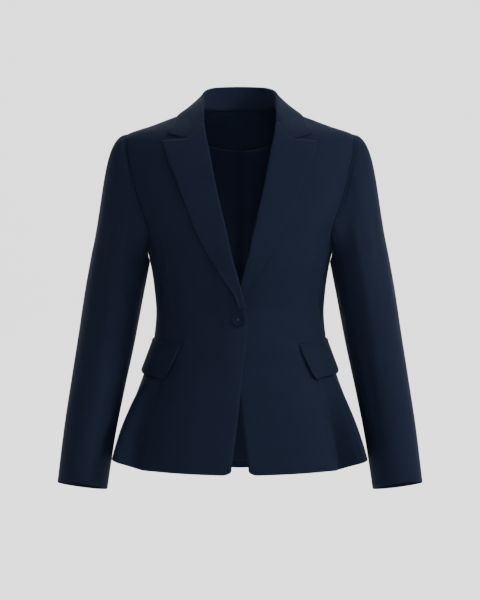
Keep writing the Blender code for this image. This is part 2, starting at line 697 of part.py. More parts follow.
def collar_surface():
    """Half of the collar's visible surface, from the gorge to the centre back."""
    share = np.linspace(0, 1, COLLAR_STATIONS + 1)
    base, normal = collar_base(share)
    crest = np.stack(
        [read_column(COLLAR, "share", name, share) for name in ("fold_x", "fold_y", "fold_z")], -1
    )
    outward = unit(crest * [1, 1, 0])
    lying = np.clip(1 - share / 0.35, 0, 1)[:, None]
    line, across, line_normal = roll_frame(LEFT, np.array([GORGE[0].height]))
    gorge_fold = fold_points(line, across, line_normal, np.array([FOLD_RADIUS]))[0]
    crest = crest + (gorge_fold[1 + FOLD_STEPS // 2] - crest[0]) * lying
    over = unit(lying * normal + (1 - lying) * outward)
    foot = FOLD_FOOT + (STAND_FOOT - FOLD_FOOT) * np.clip((share - 0.25) / 0.25, 0, 1)
    seam = base + foot[:, None] * over
    up = crest - seam
    up = unit(up - (up * over).sum(-1, keepdims=True) * over)
    seam = seam + 0.0006 * up
    turns = np.linspace(math.pi, 0, FOLD_STEPS + 1)[:, None]
    centre = (crest - FOLD_RADIUS * up)[:, None]
    arc = centre + FOLD_RADIUS * (np.cos(turns) * over[:, None] + np.sin(turns) * up[:, None])
    edge_angle = read_column(COLLAR, "share", "edge_angle", share)
    edge_height = read_column(COLLAR, "share", "edge_height", share)
    edge_place, _, edge_normal = body_frame(edge_angle, edge_height)
    edge = edge_place + LAPEL_LIE * edge_normal
    gorge = np.array([(row.across, row.height) for row in GORGE + NOTCH_TOP])
    lie = np.array(GORGE_LIE + (LAPEL_LIE,) * len(NOTCH_TOP))
    along_gorge = front_point(LEFT, gorge[:, 0], gorge[:, 1], lie)
    lengths = np.cumsum(np.linalg.norm(np.diff(along_gorge, axis=0, prepend=gorge_fold[-1:]), axis=1))
    steps = (lengths / lengths[-1])[:, None]
    fall = arc[:, -1:] + (edge - arc[:, -1])[:, None] * steps
    hold = np.clip(1 - share / 0.30, 0, 1)[:, None, None] ** 1.3
    fall = clear_of_body(fall + (along_gorge - fall[0])[None] * hold, LAPEL_LIE)
    surface = np.concatenate([seam[:, None], (seam[:, None] + arc[:, :1]) / 2, arc, fall], axis=1)
    surface[0, 2:] = np.concatenate([gorge_fold[1:], along_gorge])
    surface[0, :2] = gorge_fold[0], (gorge_fold[0] + gorge_fold[1]) / 2
    return surface


def build_collar(finish):
    """The collar, its stand and fall in one folded piece, from notch to notch."""
    half = collar_surface()
    other = half[::-1] * np.array([-1, 1, 1])
    surface = np.concatenate([half, other[1:]])
    add_folded("collar", surface, DOUBLE_CLOTH, finish, RIGHT)


def build_inside(facing_finish, lining_finish):
    """The back neck facing and the back lining with its centre pleat."""
    angles = np.linspace(100, 260, 17)
    heights = np.array([[row.height] for row in FACING])
    clearance = np.array([[row.clearance] for row in FACING])
    under = CLOTH + clearance + 0.0024 * ((180 - angles) / 80) ** 2
    add_inside("back_neck_facing", angles, heights, under, CLOTH, facing_finish)
    angles = np.array(LINING_ANGLES)
    foot = hem_height(180 - np.abs(180 - angles)) + LINING_HEM_RISE
    rows = np.linspace(0, 1, LINING_ROWS + 1)[:, None]
    heights = foot + (FACING[0].height - 0.0008 - foot) * rows
    under = CLOTH + 0.0018 + 0.0022 * ((180 - angles) / 70) ** 2
    pleat = np.interp(angles, [168, 178, 181.5, 185], [0, LINING_PLEAT, LINING_PLEAT * 0.2, 0])
    add_inside("back_lining", angles, heights, under + pleat, LINING_CLOTH, lining_finish)


def add_inside(label, angles, heights, under, thickness, finish):
    """A wall under the back, from angles that pass the centre back."""
    sign = np.stack([np.where(angles > 180, -1, 1), np.ones(len(angles)), np.ones(len(angles))], -1)
    angles, heights = np.broadcast_arrays(angles, heights)
    place, _, normal = body_frame(180 - np.abs(180 - angles), heights)
    under = np.broadcast_to(under, angles.shape)[..., None]
    outer = (place - normal * under) * sign
    inner = (place - normal * (under + thickness)) * sign
    add_wall(label, outer, inner, finish, LEFT)


def sleeve_surface():
    """Grid of the whole sleeve, rows going down from the armhole and columns round it."""
    upper, lower, rise, back = armhole()
    loop = np.concatenate([upper, lower[1:], rise[1:], back[1:]])
    place, _, normal = body_frame(loop[:, 0], loop[:, 1])
    tangent = np.gradient(place, axis=0)
    tangent[0] = tangent[-1] = place[1] - place[-2]
    inward = unit(np.cross(tangent, normal))
    centre = place.mean(0)
    inward = inward * np.sign(((centre - place) * inward).sum(-1, keepdims=True))
    lengths = np.concatenate([[0], np.cumsum(np.linalg.norm(np.diff(place, axis=0), axis=1))])
    bottom = FRONT_ARMHOLE_STEPS + SIDE_FRONT_STEPS
    front_share = lengths[: bottom + 1] / lengths[bottom]
    back_share = (lengths[bottom + 1 :] - lengths[bottom]) / (lengths[-1] - lengths[bottom])
    turns = np.concatenate([front_share * math.pi, math.pi + back_share * math.pi])
    inner_side = (1 - np.cos(turns)[:, None]) / 2
    start = place + SEAM_GAP / 2 * inward + (0.0002 + 0.0009 * inner_side**3) * normal
    rings = np.linspace(0, 1, ARM_ROWS + 1)
    marks = np.linspace(0, 1, len(SLEEVE))
    columns = {
        name: smooth_through(marks, [getattr(row, name) for row in SLEEVE], rings)
        for name in SleeveRing._fields
    }
    outer = np.stack([columns["outer_x"], columns["middle_y"], columns["outer_z"]], -1)
    inner = np.stack([columns["inner_x"], columns["middle_y"], columns["inner_z"]], -1)
    tilt = np.gradient(columns["middle_y"]) / -np.gradient(columns["outer_z"])
    depth = np.stack([np.zeros_like(tilt), -np.ones_like(tilt), -tilt], -1)
    depth = unit(depth) * columns["half_depth"][:, None]
    arm = (
        ((outer + inner) / 2)[:, None]
        + ((outer - inner) / 2)[:, None] * np.cos(turns)[:, None]
        + depth[:, None] * np.sin(turns)[:, None]
    )
    down = unit(arm[1] - arm[0])
    reach = np.linalg.norm(arm[0] - start, axis=-1, keepdims=True)
    fall = np.where(np.cos(turns) > 0, -0.35, 0.35)[:, None] * np.cos(turns)[:, None]
    away = unit(np.array([1.0, 0, 0]) + 0.25 * normal + [0, 0, 1] * fall)
    head = np.maximum(np.cos(turns), 0)[:, None] ** 2
    first = start + away * np.minimum(0.30 * reach, 0.022 + 0.0155 * head)
    second = arm[0] - down * (0.45 - 0.25 * inner_side) * reach
    second += [-0.004, 0, 0] * (1 - inner_side) ** 2 + [0.001, 0, 0] * inner_side**4
    steps = np.linspace(0, 1, CAP_ROWS + 1)[:-1, None, None] ** 1.15
    cap = (
        (1 - steps) ** 3 * start
        + 3 * (1 - steps) ** 2 * steps * first
        + 3 * (1 - steps) * steps**2 * second
        + steps**3 * arm[0]
    )
    near_body = np.clip(3 * inner_side - 1.6, 0, 1)
    cap[1:] += (clear_of_body(cap[1:], 0.0009) - cap[1:]) * near_body
    return np.concatenate([cap, arm])


def build_sleeve(side, name, finish):
    """The upper and under sleeve, joined down two seams."""
    surface = sleeve_surface()
    closed = np.concatenate([surface[:, -2:-1], surface, surface[:, 1:2]], axis=1)
    normals = -grid_normals(closed)[:, 1:-1]
    last, first = UNDER_SLEEVE_LAST, UNDER_SLEEVE_FIRST
    upper = np.concatenate([surface[:, last:-1], surface[:, : first + 1]], axis=1)
    upper_normals = np.concatenate([normals[:, last:-1], normals[:, : first + 1]], axis=1)
    for label, grid, outward in (
        ("upper", upper, upper_normals),
        ("under", surface[:, first : last + 1], normals[:, first : last + 1]),
    ):
        outer = pull_in(grid)
        inner = outer - CLOTH * outward
        add_wall(f"{label}_sleeve_{name}", outer[:, ::-1], inner[:, ::-1], finish, side)


def flap_chart(columns):
    """(angle, height) grid of a pocket flap."""
    spread = np.linspace(0, 1, columns + 1)
    lines = []
    for line in (FLAP_BOTTOM, FLAP_TOP):
        angles = np.array([point.angle for point in line])
        heights = np.array([point.height for point in line])
        lengths = np.hypot(np.diff(angles) * 0.0022, np.diff(heights))
        travelled = np.concatenate([[0], np.cumsum(lengths)]) / lengths.sum()
        angles = smooth_through(travelled, angles, spread)
        heights = smooth_through(travelled, heights, spread)
        lines.append(np.stack([angles, heights], -1))
    bottom, top = lines
    up = np.linspace(0, 1, FLAP_ROWS + 1)[:, None]
    left = bottom[0] + (top[0] - bottom[0]) * up
    right = bottom[-1] + (top[-1] - bottom[-1]) * up
    return patch(bottom, right, top, left)


def build_pocket(side, name, finish):
    """A slanted flap and the narrow welt over it."""
    chart = flap_chart(FLAP_COLUMNS)
    place, _, normal = body_frame(chart[..., 0], chart[..., 1])
    up = np.linspace(0, 1, FLAP_ROWS + 1)[:, None]
    lie = FLAP_LIE_BOTTOM + (FLAP_LIE_TOP - FLAP_LIE_BOTTOM) * up
    outer = place + normal * lie[..., None]
    add_wall(f"pocket_flap_{name}", outer, outer - FLAP_CLOTH * normal, finish, side)
    top = chart[-1]
    rise = np.array([[0.0006], [WELT_HEIGHT]])
    welt = np.stack([np.broadcast_to(top[:, 0], (2, len(top))), top[:, 1] + rise], -1)
    place, _, normal = body_frame(welt[..., 0], welt[..., 1])
    outer = place + normal * WELT_LIE
    add_wall(f"pocket_welt_{name}", outer, outer - 0.0018 * normal, finish, side)


def build_button(finish):
    """The turned button with its rim and four holes, lying on the upper front."""
    profile = (
        (0.0, 0.0),
        (0.0080, 0.0),
        (BUTTON_RADIUS - 0.0006, 0.0010),
        (BUTTON_RADIUS, 0.0022),
        (BUTTON_RADIUS - 0.0005, 0.0033),
        (BUTTON_RADIUS - 0.0018, 0.0036),
        (0.0082, 0.0027),
        (0.0, 0.0022),
    )
    points = np.array([(radius, 0.0, rise) for radius, rise in profile])
    mesh = bpy.data.meshes.new("button")
    mesh.from_pydata(points.tolist(), [(k, k + 1) for k in range(len(points) - 1)], [])
    mesh.materials.append(finish)
    button = bpy.data.objects.new("button", mesh)
    JACKET.objects.link(button)
    turn = button.modifiers.new("turned", "SCREW")
    turn.axis = "Z"
    turn.steps = turn.render_steps = 24
    turn.use_merge_vertices = True
    turn.merge_threshold = 0.00005
    turn.use_normal_calculate = True
    for number in range(4):
        bpy.ops.mesh.primitive_cylinder_add(vertices=8, radius=0.0009, depth=0.02)
        cutter = bpy.context.object
        quarter = math.radians(45 + 90 * number)
        cutter.name = f"button_hole_{number}"
        cutter.hide_render = True
        cutter.display_type = "WIRE"
        for owner in list(cutter.users_collection):
            owner.objects.unlink(cutter)
        CUTTERS.objects.link(cutter)
        cutter.location = (0.0021 * math.cos(quarter), 0.0021 * math.sin(quarter), 0)
        cutter.parent = button
        hole = button.modifiers.new(f"hole_{number}", "BOOLEAN")
        hole.object = cutter
        hole.solver = "EXACT"
    height = np.array([BUTTON_HEIGHT])
    place = front_point(RIGHT, np.array([-BUTTON_X]), height, np.array([BUTTON_LIE]))[0]
    _, _, normal = body_frame(angle_at(np.array([-BUTTON_X]), height), height)
    outward = normal[0] * [-1, 1, 1]
    button.location = place * [-1, 1, 1]
    button.rotation_euler = (
        math.atan2(math.hypot(outward[0], outward[1]), outward[2]),
        0,
        math.atan2(outward[0], -outward[1]),
    )
    return button


for old in list(bpy.data.objects):
    bpy.data.objects.remove(old, do_unlink=True)
JACKET = bpy.data.collections.new("peplum_jacket")
CUTTERS = bpy.data.collections.new("cutters")
for group in (JACKET, CUTTERS):
    bpy.context.scene.collection.children.link(group)

wool = material("navy_wool", (0.0075, 0.0105, 0.0205), 0.86)
lining = material("navy_lining", (0.0070, 0.0085, 0.0150), 0.45)
horn = material("navy_button", (0.0110, 0.0160, 0.0340), 0.38)

for side, name in SIDES:
    build_front(side, name, wool)
    build_side_front(side, name, wool)
    build_plain_panel(f"side_back_{name}", side_back_chart(), side, wool)
    build_plain_panel(f"back_{name}", back_chart(), side, wool)
    build_lapel(side, name, wool)
    build_sleeve(side, name, wool)
    build_pocket(side, name, wool)
build_collar(wool)
build_inside(wool, lining)
build_button(horn)
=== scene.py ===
"""Dressed model of a peplum jacket with peak lapels and one button, filled out as if worn.

Metres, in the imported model's frame: X runs to the wearer's left, -Y to the front and Z up.
A half is drafted in its own coordinates, where across grows from the centre front to the
side, and is then turned to the wearer's left or right.
"""

import logging
import math
from dataclasses import dataclass, field
from enum import Enum
from typing import Any, NamedTuple

import bpy
import numpy as np
from mathutils import Matrix, Vector

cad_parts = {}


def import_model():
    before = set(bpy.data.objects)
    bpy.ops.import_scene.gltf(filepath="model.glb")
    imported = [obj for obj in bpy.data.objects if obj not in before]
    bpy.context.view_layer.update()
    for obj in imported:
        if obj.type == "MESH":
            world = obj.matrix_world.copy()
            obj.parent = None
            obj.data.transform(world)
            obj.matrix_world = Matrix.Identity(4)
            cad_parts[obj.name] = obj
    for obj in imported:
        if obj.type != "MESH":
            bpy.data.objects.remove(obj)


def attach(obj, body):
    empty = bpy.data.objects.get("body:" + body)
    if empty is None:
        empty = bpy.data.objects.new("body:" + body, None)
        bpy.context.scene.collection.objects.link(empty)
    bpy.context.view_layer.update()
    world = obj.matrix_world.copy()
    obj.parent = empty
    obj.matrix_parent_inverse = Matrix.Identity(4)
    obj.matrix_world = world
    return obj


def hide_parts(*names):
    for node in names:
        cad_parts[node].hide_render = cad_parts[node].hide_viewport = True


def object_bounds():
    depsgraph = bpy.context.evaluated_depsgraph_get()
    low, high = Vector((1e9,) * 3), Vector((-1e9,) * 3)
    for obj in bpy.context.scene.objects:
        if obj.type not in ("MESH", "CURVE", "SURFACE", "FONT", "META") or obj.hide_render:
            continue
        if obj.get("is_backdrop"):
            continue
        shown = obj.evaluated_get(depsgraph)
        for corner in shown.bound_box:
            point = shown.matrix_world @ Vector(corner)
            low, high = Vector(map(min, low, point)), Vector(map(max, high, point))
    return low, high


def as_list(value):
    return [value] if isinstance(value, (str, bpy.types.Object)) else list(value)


logging.basicConfig(level=logging.INFO, format="%(message)s")
LOG = logging.getLogger("jacket")
Grid = np.ndarray
TURN_STEP = 0.5
HEIGHT_STEP = 0.001
CREASE_BOW = 0.10
CREASE_FADE = 0.8


class Side(Enum):
    """The wearer's side that a piece belongs to."""

    LEFT = 1
    RIGHT = -1

    @property
    def word(self) -> str:
        """The side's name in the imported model's nodes."""
        return self.name.lower()


class Held(Enum):
    HUNG = "hung"
    FOLDED = "folded"


class BodySection(NamedTuple):
    """A level section of the body's outer form."""

    height: float
    half_width: float
    front_depth: float
    back_depth: float
    power: float


class EdgePoint(NamedTuple):
    """A point on a front, by its height and its distance across."""

    height: float
    across: float


class SeamPoint(NamedTuple):
    """A point on the form, by its height and its angle round the body."""

    height: float
    angle: float


class LiftPoint(NamedTuple):
    """How far the upper front is lifted over the under front at a height."""

    height: float
    lift: float


class TurnPoint(NamedTuple):
    """How far out a front lies beside its open pleat, at a share of its width."""

    share: float
    out: float


class FlutePoint(NamedTuple):
    """Where the side panel's cloth lies in the flute below the flap."""

    share: float
    angle_share: float
    along: float
    out: float


class CollarStation(NamedTuple):
    """The collar's fold and its edge, at a share of the way from the gorge to the back."""

    share: float
    fold_x: float
    fold_y: float
    fold_z: float
    edge_angle: float
    edge_height: float


class SleeveRing(NamedTuple):
    """The sleeve's outer and inner line, its middle and its half depth."""

    outer_x: float
    outer_z: float
    inner_x: float
    inner_z: float
    middle_y: float
    half_depth: float


class FacingRow(NamedTuple):
    """The back neck facing's clearance under the back at a height."""

    height: float
    clearance: float


class Crease(NamedTuple):
    """A soft ridge or trough between two points, each an angle and a height or a share."""

    start_angle: float
    start_height: float
    end_angle: float
    end_height: float
    width: float
    depth: float


def table_of(kind: Any, *rows: tuple[float, ...]) -> tuple:
    """A table whose rows are all of one kind."""
    return tuple(kind(*row) for row in rows)


BODY = table_of(
    BodySection,
    (0.0100, 0.0420, 0.0120, 0.0560, 2.00),
    (0.0000, 0.0660, 0.0220, 0.0620, 2.00),
    (-0.0136, 0.0975, 0.0340, 0.0690, 2.00),
    (-0.0238, 0.1245, 0.0440, 0.0740, 2.00),
    (-0.0340, 0.1510, 0.0530, 0.0785, 2.02),
    (-0.0493, 0.1925, 0.0640, 0.0840, 2.05),
    (-0.0600, 0.2035, 0.0700, 0.0880, 2.10),
    (-0.0800, 0.2070, 0.0795, 0.0940, 2.18),
    (-0.1200, 0.2030, 0.0970, 0.1030, 2.25),
    (-0.1600, 0.1920, 0.1100, 0.1080, 2.30),
    (-0.2000, 0.1760, 0.1205, 0.1095, 2.30),
    (-0.2400, 0.1588, 0.1245, 0.1070, 2.28),
    (-0.2690, 0.1518, 0.1215, 0.1030, 2.25),
    (-0.3090, 0.1456, 0.1120, 0.0965, 2.22),
    (-0.3500, 0.1424, 0.1045, 0.0920, 2.20),
    (-0.3910, 0.1457, 0.1070, 0.0960, 2.20),
    (-0.4110, 0.1500, 0.1100, 0.1000, 2.20),
    (-0.4590, 0.1650, 0.1190, 0.1120, 2.22),
    (-0.5130, 0.1850, 0.1310, 0.1250, 2.26),
    (-0.5540, 0.2000, 0.1390, 0.1340, 2.30),
    (-0.6000, 0.2125, 0.1470, 0.1420, 2.30),
    (-0.6400, 0.2200, 0.1530, 0.1480, 2.30),
)
ROLL_LINE = table_of(
    EdgePoint,
    (0.0000, 0.0660),
    (-0.0136, 0.0655),
    (-0.0290, 0.0640),
    (-0.0460, 0.0620),
    (-0.0805, 0.0550),
    (-0.1266, 0.0465),
    (-0.1700, 0.0370),
    (-0.2166, 0.0260),
    (-0.2642, 0.0150),
    (-0.2936, 0.0065),
    (-0.3265, -0.0020),
    (-0.3400, -0.0052),
    (-0.3520, -0.0108),
    (-0.3660, -0.0124),
    (-0.3826, -0.0124),
    (-0.4039, -0.0107),
    (-0.4367, -0.0058),
    (-0.4693, -0.0025),
    (-0.4937, 0.0003),
    (-0.5422, 0.0060),
    (-0.5825, 0.0113),
    (-0.6140, 0.0150),
)
OVERLAP_LIFT = table_of(
    LiftPoint,
    (-0.2300, 0.0000),
    (-0.2800, 0.0044),
    (-0.3430, 0.0046),
    (-0.3700, 0.0028),
    (-0.4950, 0.0023),
    (-0.5600, 0.0000),
)
PRINCESS_TOP = table_of(
    SeamPoint,
    (-0.2060, 62.5),
    (-0.2235, 54.6),
    (-0.2434, 52.9),
    (-0.3048, 52.9),
    (-0.3632, 54.5),
    (-0.4014, 52.8),
)
FRONT_PRINCESS = {
    Side.LEFT: PRINCESS_TOP
    + table_of(
        SeamPoint,
        (-0.4643, 50.5),
        (-0.5201, 48.7),
        (-0.5527, 47.6),
        (-0.6052, 48.2),
    ),
    Side.RIGHT: PRINCESS_TOP
    + table_of(
        SeamPoint,
        (-0.4643, 51.0),
        (-0.5042, 53.0),
        (-0.5532, 51.5),
        (-0.6052, 50.3),
    ),
}
BACK_PRINCESS = table_of(
    SeamPoint,
    (-0.1700, 117.0),
    (-0.1950, 124.0),
    (-0.2500, 128.0),
    (-0.3500, 131.0),
    (-0.6400, 128.0),
)
SIDE_SEAM = (SeamPoint(-0.7000, 90.0), SeamPoint(0.0000, 90.0))
ARMHOLE_FRONT = table_of(
    SeamPoint,
    (-0.0493, 90.0),
    (-0.0530, 79.5),
    (-0.0640, 70.5),
    (-0.0860, 66.3),
    (-0.1130, 63.4),
    (-0.1424, 62.4),
    (-0.1762, 62.2),
    (-0.2060, 62.5),
    (-0.2210, 66.0),
    (-0.2330, 72.5),
    (-0.2395, 80.5),
    (-0.2415, 90.0),
)
ARMHOLE_BACK = table_of(
    SeamPoint,
    (-0.2415, 90.0),
    (-0.2370, 99.0),
    (-0.2220, 108.0),
    (-0.1980, 114.5),
    (-0.1700, 117.0),
    (-0.1350, 117.6),
    (-0.1000, 116.0),
    (-0.0720, 112.5),
    (-0.0560, 104.0),
    (-0.0493, 90.0),
)
HEM = table_of(
    SeamPoint,
    (-0.6165, 0.0),
    (-0.6145, 19.0),
    (-0.6120, 36.0),
    (-0.6100, 49.0),
    (-0.6030, 65.0),
    (-0.5965, 80.0),
    (-0.5975, 95.0),
    (-0.6080, 125.0),
    (-0.6210, 155.0),
    (-0.6260, 180.0),
)
FRONT_TURN = table_of(
    TurnPoint,
    (0.800, 0.0000),
    (0.900, -0.0016),
    (0.960, -0.0042),
    (1.000, -0.0080),
)
FLUTE = {
    Side.LEFT: table_of(
        FlutePoint,
        (0.00, 0.000, -0.0006, -0.0088),
        (0.10, 0.020, 0.0018, -0.0090),
        (0.22, 0.050, 0.0060, 0.0030),
        (0.34, 0.100, 0.0100, 0.0230),
        (0.42, 0.135, 0.0115, 0.0300),
        (0.50, 0.210, 0.0095, 0.0285),
        (0.64, 0.400, 0.0044, 0.0135),
        (0.82, 0.680, 0.0014, 0.0032),
        (1.00, 1.000, 0.0000, 0.0000),
    ),
    Side.RIGHT: table_of(
        FlutePoint,
        (0.00, 0.000, -0.0006, -0.0088),
        (0.08, 0.025, 0.0010, -0.0068),
        (0.20, 0.075, 0.0020, 0.0075),
        (0.33, 0.145, 0.0030, 0.0230),
        (0.42, 0.210, 0.0030, 0.0275),
        (0.52, 0.310, 0.0028, 0.0240),
        (0.66, 0.460, 0.0014, 0.0100),
        (0.82, 0.700, 0.0006, 0.0024),
        (1.00, 1.000, 0.0000, 0.0000),
    ),
}
LAPEL_EDGE = table_of(
    EdgePoint,
    (-0.0655, 0.1290),
    (-0.0969, 0.1189),
    (-0.1277, 0.1070),
    (-0.1564, 0.0960),
    (-0.1898, 0.0825),
    (-0.2296, 0.0658),
    (-0.2592, 0.0490),
    (-0.2838, 0.0345),
    (-0.3035, 0.0205),
    (-0.3216, 0.0080),
    (-0.3364, -0.0012),
    (-0.3440, -0.0020),
)
GORGE = table_of(
    EdgePoint,
    (-0.0325, 0.0672),
    (-0.0405, 0.0700),
    (-0.0490, 0.0760),
    (-0.0613, 0.0859),
)
PEAK_TOP = (EdgePoint(-0.0622, 0.0930), EdgePoint(-0.0638, 0.1100), EdgePoint(-0.0655, 0.1290))
NOTCH_TOP = (EdgePoint(-0.0585, 0.0985), EdgePoint(-0.0530, 0.1196))
GORGE_LIE = (0.0041, 0.0038, 0.0033, 0.0028)
COLLAR = table_of(
    CollarStation,
    (0.00, 0.0600, -0.0500, -0.0313, 37.0, -0.0530),
    (0.15, 0.0612, -0.0370, -0.0150, 45.0, -0.0370),
    (0.30, 0.0630, -0.0180, 0.0020, 62.0, -0.0225),
    (0.45, 0.0640, 0.0030, 0.0150, 88.0, -0.0158),
    (0.60, 0.0590, 0.0260, 0.0285, 118.0, -0.0175),
    (0.80, 0.0385, 0.0510, 0.0366, 149.0, -0.0150),
    (1.00, 0.0000, 0.0600, 0.0385, 180.0, -0.0130),
)
FACING = table_of(
    FacingRow,
    (-0.0680, 0.0020),
    (-0.0450, 0.0022),
    (-0.0220, 0.0018),
    (0.0000, 0.0010),
)
SLEEVE = table_of(
    SleeveRing,
    (0.2505, -0.2500, 0.1545, -0.2660, 0.0020, 0.0640),
    (0.2612, -0.3100, 0.1660, -0.3260, 0.0000, 0.0615),
    (0.2722, -0.3850, 0.1800, -0.4010, -0.0040, 0.0570),
    (0.2838, -0.4650, 0.1965, -0.4800, -0.0160, 0.0510),
    (0.2950, -0.5450, 0.2115, -0.5590, -0.0300, 0.0460),
    (0.3050, -0.6360, 0.2240, -0.6460, -0.0450, 0.0430),
)
FLAP_TOP = (SeamPoint(-0.4085, 39.5), SeamPoint(-0.4005, 84.0), SeamPoint(-0.3975, 108.0))
FLAP_BOTTOM = table_of(
    SeamPoint,
    (-0.4540, 44.0),
    (-0.4608, 46.0),
    (-0.4617, 48.5),
    (-0.4590, 52.5),
    (-0.4570, 66.0),
    (-0.4520, 84.0),
    (-0.4480, 112.0),
)

BODY_CREASES = {
    Side.RIGHT: table_of(
        Crease,
        (9.0, -0.3500, 33.0, -0.3270, 0.0100, -0.0015),
        (10.0, -0.3760, 36.0, -0.3930, 0.0120, -0.0014),
        (49.0, -0.1500, 38.0, -0.2450, 0.0240, 0.0031),
        (58.0, -0.1900, 42.0, -0.2800, 0.0150, -0.0020),
        (60.0, -0.3050, 72.0, -0.3450, 0.0110, -0.0017),
        (22.0, -0.4500, 25.0, -0.6000, 0.0260, 0.0024),
    ),
    Side.LEFT: table_of(
        Crease,
        (9.0, -0.3560, 29.0, -0.3340, 0.0110, -0.0012),
        (11.0, -0.3800, 40.0, -0.4000, 0.0130, -0.0017),
        (51.0, -0.1350, 36.0, -0.2300, 0.0260, 0.0034),
        (57.0, -0.2100, 45.0, -0.2860, 0.0130, -0.0017),
        (62.0, -0.3200, 76.0, -0.3520, 0.0120, -0.0020),
        (26.0, -0.4700, 29.0, -0.6020, 0.0240, 0.0022),
    ),
}
BACK_CREASES = table_of(
    Crease,
    (136.0, -0.1500, 142.0, -0.2350, 0.0160, -0.0016),
    (130.0, -0.1150, 140.0, -0.1900, 0.0180, 0.0014),
    (118.0, -0.3150, 158.0, -0.3380, 0.0120, -0.0015),
    (126.0, -0.3640, 168.0, -0.3560, 0.0110, -0.0013),
    (144.0, -0.4300, 146.0, -0.6100, 0.0250, 0.0022),
    (166.0, -0.4500, 163.0, -0.6180, 0.0240, -0.0018),
)
SLEEVE_CREASES = {
    Side.RIGHT: table_of(
        Crease,
        (52.0, 0.1800, 60.0, 0.7200, 0.0180, 0.0021),
        (98.0, 0.1600, 88.0, 0.8200, 0.0140, -0.0021),
        (70.0, 0.4900, 150.0, 0.5350, 0.0100, -0.0018),
        (84.0, 0.5650, 160.0, 0.5900, 0.0110, -0.0023),
        (60.0, 0.6300, 128.0, 0.6500, 0.0120, -0.0013),
        (250.0, 0.4800, 205.0, 0.5300, 0.0120, -0.0020),
        (300.0, 0.2200, 292.0, 0.7600, 0.0200, 0.0018),
        (130.0, 0.7000, 120.0, 0.9600, 0.0130, 0.0013),
    ),
    Side.LEFT: table_of(
        Crease,
        (46.0, 0.1500, 56.0, 0.6600, 0.0200, 0.0023),
        (94.0, 0.2000, 92.0, 0.7600, 0.0150, -0.0023),
        (66.0, 0.5050, 144.0, 0.5500, 0.0110, -0.0017),
        (80.0, 0.5800, 156.0, 0.6180, 0.0100, -0.0022),
        (58.0, 0.4200, 118.0, 0.4500, 0.0120, -0.0012),
        (246.0, 0.5000, 208.0, 0.5600, 0.0120, -0.0018),
        (306.0, 0.2400, 296.0, 0.7000, 0.0210, 0.0020),
        (124.0, 0.6600, 118.0, 0.9300, 0.0140, 0.0014),
    ),
}


def smooth_through(marks: Any, values: Any, at: Any) -> Grid:
    """Smooth curve through points that never swings beyond two neighbours.

    Args:
        marks: Rising places of the points.
        values: The points' values.
        at: Places where the curve is wanted.

    Returns:
        The curve's values there.
    """
    marks, values, at = (np.asarray(each, float) for each in (marks, values, at))
    step = np.diff(marks)
    rise = np.diff(values) / step
    slope = np.empty_like(values)
    slope[0], slope[-1] = rise[0], rise[-1]
    same_way = rise[:-1] * rise[1:] > 0
    before = np.where(same_way, rise[:-1], 1.0)
    after = np.where(same_way, rise[1:], 1.0)
    first = 2 * step[1:] + step[:-1]
    second = step[1:] + 2 * step[:-1]
    slope[1:-1] = np.where(same_way, (first + second) / (first / before + second / after), 0.0)
    at = np.clip(at, marks[0], marks[-1])
    k = np.clip(np.searchsorted(marks, at, side="right") - 1, 0, len(marks) - 2)
    t = (at - marks[k]) / step[k]
    start = values[k] * (1 + 2 * t) + step[k] * slope[k] * t
    end = values[k + 1] * (3 - 2 * t) - step[k] * slope[k + 1] * (1 - t)
    return start * (1 - t) ** 2 + end * t**2


def read_column(table: tuple, mark: str, value: str, at: Any) -> Grid:
    """Smooth value of one named column of a table, against another.

    Args:
        table: Rows of one kind.
        mark: Name of the column that is read along.
        value: Name of the column that is wanted.
        at: Places along the first column.

    Returns:
        The wanted column's values there.
    """
    rows = sorted(table, key=lambda row: getattr(row, mark))
    marks = [getattr(row, mark) for row in rows]
    values = [getattr(row, value) for row in rows]
    return smooth_through(marks, values, at)


def unit(vectors: Grid) -> Grid:
    """Vectors scaled to a length of one."""
    return vectors / np.maximum(np.linalg.norm(vectors, axis=-1, keepdims=True), 1e-12)


def grid_normals(points: Grid) -> Grid:
    """Outward directions of a grid of rows going up and columns going round."""
    return unit(np.cross(np.gradient(points, axis=1), np.gradient(points, axis=0)))


def refined(points: Any, factor: int) -> Grid:
    """A row of points with more, evenly placed, on each stretch between two of them.

    Args:
        points: The points, or plain numbers.
        factor: How many stretches each one becomes.

    Returns:
        The longer row.
    """
    points = np.asarray(points, float)
    at = np.linspace(0, len(points) - 1, (len(points) - 1) * factor + 1)
    flat = points.reshape(len(points), -1)
    places = np.arange(len(points))
    made = np.stack([np.interp(at, places, flat[:, k]) for k in range(flat.shape[1])], -1)
    return made.reshape((len(at),) + points.shape[1:])


def patch(bottom: Grid, right: Grid, top: Grid, left: Grid, shares: Grid | None = None) -> Grid:
    """Grid that fills four borders of points.

    Args:
        bottom: Border along the first row.
        right: Border along the last column.
        top: Border along the last row.
        left: Border along the first column.
        shares: Places of the columns, evenly spaced if left out.

    Returns:
        Rows going up and columns going round.
    """
    if shares is None:
        shares = np.linspace(0, 1, len(bottom))
    across = np.asarray(shares)[None, :, None]
    up = np.linspace(0, 1, len(left))[:, None, None]
    sides = (1 - across) * left[:, None] + across * right[:, None]
    ends = (1 - up) * bottom[None] + up * top[None]
    foot = (1 - across) * bottom[0] + across * bottom[-1]
    head = (1 - across) * top[0] + across * top[-1]
    return sides + ends - (1 - up) * foot - up * head


